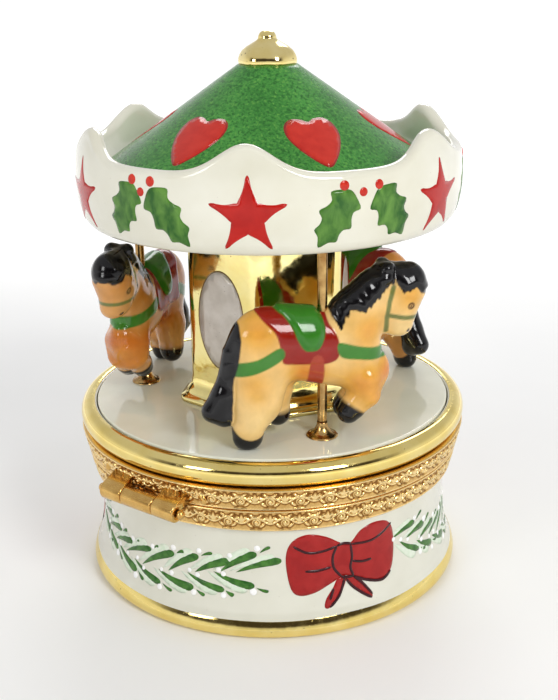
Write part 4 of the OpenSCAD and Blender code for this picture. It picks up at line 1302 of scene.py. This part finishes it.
def closed_tube(rows):
    """Points and faces of a surface closed both ways, with its faces turned outwards."""
    rows = np.asarray(rows, float)
    points = rows.reshape(-1, 3)
    faces = grid_faces(*rows.shape[:2])
    a, b, c, d = (points[faces[:, i]] for i in range(4))
    volume = (np.cross(a, b) * c).sum() + (np.cross(a, c) * d).sum()
    return points, faces if volume > 0 else faces[:, ::-1]


def knuckle(left, right, hole, outer_z, inner_z):
    """A hinge knuckle with its arm: a drop-shaped section drilled for the pin, with soft ends.
    The arm runs from the barrel to the bezel between the heights outer_z and inner_z."""
    rise, run = outer_z - HINGE_Z, 3.2
    way = 1 if rise > 0 else -1
    spread = math.acos(KNUCKLE_R / math.hypot(rise, run))
    start = math.pi - way * math.asin(abs(inner_z - HINGE_Z) / KNUCKLE_R)
    end = math.atan2(rise, -run) - way * spread + way * 2 * math.pi
    barrel = [(KNUCKLE_R * math.cos(a), KNUCKLE_R * math.sin(a)) for a in np.linspace(start, end, 44)]

    def section(x, inset):
        scale = 1 - inset / KNUCKLE_R
        tail = []
        for z in (outer_z, (outer_z + inner_z) / 2, inner_z):
            root = math.sqrt((bezel_r(z) - 0.2) ** 2 - x * x)
            tail.append((root - HINGE_Y, z - HINGE_Z - way * (inset if z == outer_z else 0)))
        return [(x, HINGE_Y + y, HINGE_Z + z) for y, z in [(y * scale, z * scale) for y, z in barrel] + tail]

    def bore(x):
        angles = np.linspace(start, start + way * 2 * math.pi, 47, endpoint=False)
        return [(x, HINGE_Y + hole * math.cos(a), HINGE_Z + hole * math.sin(a)) for a in angles]

    ends = [(0, 0.22), (0.05, 0.1), (0.14, 0.03), (0.26, 0)]
    rows = [section(left + along, inset) for along, inset in ends]
    rows += [section(right - along, inset) for along, inset in ends[::-1]]
    return closed_tube(rows + [bore(right), bore(left)])


def leaf_sprig(x, y, z, angle):
    """A small cast leaf that covers the end of the strip beside the hinge."""
    rows = []
    for share in np.linspace(0, 1, 7):
        half = 0.62 * math.sin(math.pi * min(share * 0.92 + 0.08, 1.0)) ** 0.7 + 0.02
        row = []
        for a in np.radians(np.arange(0, 360, 30)):
            across, up = rotated(2.4 * share - 1.2, half * math.cos(a), *facing(angle), x, z)
            row.append((across, y + 0.32 * half * math.sin(a) * 1.6, up))
        rows.append(row)
    return closed_tube(rows + [[tuple(np.mean(rows[i], axis=0))] * 12 for i in (-1, 0)])


def cross_bar(profile, y, z):
    """A turned bar along X, the same at both ends, through (x, radius) points from its end inwards."""
    rows = [[(x, y + r * math.cos(a), z + r * math.sin(a)) for a in np.radians(np.arange(0, 360, 15))]
            for x, r in [(-x, r) for x, r in profile] + profile[::-1]]
    tip = profile[0][0] + 0.01
    return closed_tube(rows + [[(x, y, z)] * 24 for x in (tip, -tip)])


def thumbpiece():
    """The clasp's cast plate with a star in a rope border, its arm to the lid's strip and its rolled lip."""
    middle_z, arm_z = PARTING_Z - 0.1, PARTING_Z + 1.3
    turn = bearings(120)
    reach = (np.abs(np.cos(turn) / 3.25) ** 2.6 + np.abs(np.sin(turn) / 2.5) ** 2.6) ** (-1 / 2.6)
    reach *= 1 - 0.05 * np.abs(np.sin(6 * turn))
    star = star_outline(1.5)

    def row(x, y, z):
        return np.stack(np.broadcast_arrays(x, y, z + 0 * turn), axis=-1)

    def ring(share, front):
        x, z = share * reach * np.cos(turn), share * reach * np.sin(turn)
        y = -33.6 - 0.3 * (share > 0.98)
        if front:
            inside = -edge_distance(np.stack([x, z], axis=-1), star)
            rope = np.exp(-((share - 0.84) / 0.06) ** 2) * (0.65 + 0.35 * np.cos(30 * turn + 24 * share))
            y = -34.25 + 0.2 * share ** 6 - 0.32 * np.clip(inside / 0.16, 0, 1) - 0.24 * rope
        return row(x, y, middle_z + z)

    def squared(wave):
        """A circle's sine or cosine made into that of a rounded box."""
        return np.sign(wave) * np.abs(wave) ** 0.4

    plate = closed_tube([ring(share, True) for share in np.linspace(0, 1, 32)]
                        + [ring(share, False) for share in (1.0, 0.96, 0.5, 0)])
    across = squared(np.cos(turn))
    rise = PARTING_Z + 1.3 + 0.95 * squared(np.sin(turn))
    foot = np.sqrt((bezel_r(arm_z) - 0.35) ** 2 - (across * 3.0) ** 2)
    arm = closed_tube([row(0 * turn, -33.9, arm_z), row(across * 2.7, -33.9, rise),
                       row(across * 2.35, -33.3, rise), row(across * 2.45, -32.6, rise),
                       row(across * 3.0, -foot, rise), row(0 * turn, -foot.mean(), arm_z)])
    lip = cross_bar([(2.3, 0.05), (2.24, 0.3), (2.0, 0.52), (1.6, 0.6), (1.2, 0.5), (0.8, 0.62), (0.4, 0.76),
                     (0.05, 0.8)], -34.2, PARTING_Z - 2.65)
    add_piece("clasp_thumb_plate", [plate, arm, lip], "brass", BODY_LID, ["clasp_thumbpiece"],
              weld=True)


def hinge():
    """The three-knuckle hinge: the lid's two outer knuckles, the base's middle one and a beaded pin."""
    outer = [knuckle(left, right, 0.62, HINGE_Z + 2.6, HINGE_Z + 0.45)
             for left, right in ((-KNUCKLE_HALF, -KNUCKLE_SPLIT - 0.1), (KNUCKLE_SPLIT + 0.1, KNUCKLE_HALF))]
    middle = knuckle(-KNUCKLE_SPLIT, KNUCKLE_SPLIT, 0.53, HINGE_Z - 2.6, HINGE_Z - 0.2)
    reach = KNUCKLE_HALF + 0.42
    pin = cross_bar([(reach + 0.85, 0.05), (reach + 0.78, 0.32), (reach + 0.55, 0.6), (reach + 0.25, 0.72),
                     (reach - 0.02, 0.66), (reach - 0.2, 0.5)], HINGE_Y, HINGE_Z)
    add_piece("hinge_lid_knuckles", outer, "brass", BODY_LID, ["hinge_lid_leaf"])
    add_piece("hinge_base_knuckle", [middle], "brass", BODY_BASE, ["hinge_base_leaf"])
    add_piece("hinge_beaded_pin", [pin], "brass", BODY_BASE, ["hinge_pin"], weld=True)
    for name, side in (("left", -1), ("right", 1)):
        angle = math.asin(side * 9.6 / 32)
        leaf = leaf_sprig(side * 9.6, bezel_r(24) * math.cos(angle) - 0.05, 24.0, -side * 50)
        add_piece(f"lid_leaf_{name}", [leaf], "brass", BODY_LID, weld=True)


CAD_FINISHES = {
    "brass": ["clasp_catch", "key_bush", "spindle_bush", "winding_key"],
    "pole": ["pole_front", "pole_right", "pole_left"],
    "movement_brass": ["bedplate", "barrel_bridge", "bridge_pillars", "barrel_drum", "pinned_cylinder",
                       "worm_wheel"],
    "steel": ["bedplate_screws", "cylinder_post_inner", "cylinder_post_outer", "comb_block", "comb",
              "governor_frame", "barrel_cap", "winding_arbor", "cylinder_arbor", "cylinder_pinion",
              "governor_arbor", "governor_pinion", "worm_spindle", "centre_rod", "retaining_ring"],
    "blued": ["post_screws", "comb_screws", "bridge_screws", "governor_screw", "mainspring"],
    "foil": ["air_brake"],
}


def finish_cad_nodes():
    """Gives the CAD pieces that stay their finish and softened edges."""
    for finish, nodes in CAD_FINISHES.items():
        for name in nodes:
            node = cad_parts[name]
            node.data.materials.clear()
            node.data.materials.append(materials[finish])
            bevel = node.modifiers.new("soft_edges", "BEVEL")
            bevel.width = 0.06 * MM
            bevel.segments = 2
            bevel.limit_method = "ANGLE"
            bevel.angle_limit = math.radians(40)


make_camera()
make_studio()
materials = make_materials()
for build in (base_shell, foot_gilding, bezels, bows, garlands, lid_shell, hinge, thumbpiece, deck, column,
              ovals, canopy, canopy_decoration, finial, pole_feet, horses, finish_cad_nodes):
    build()
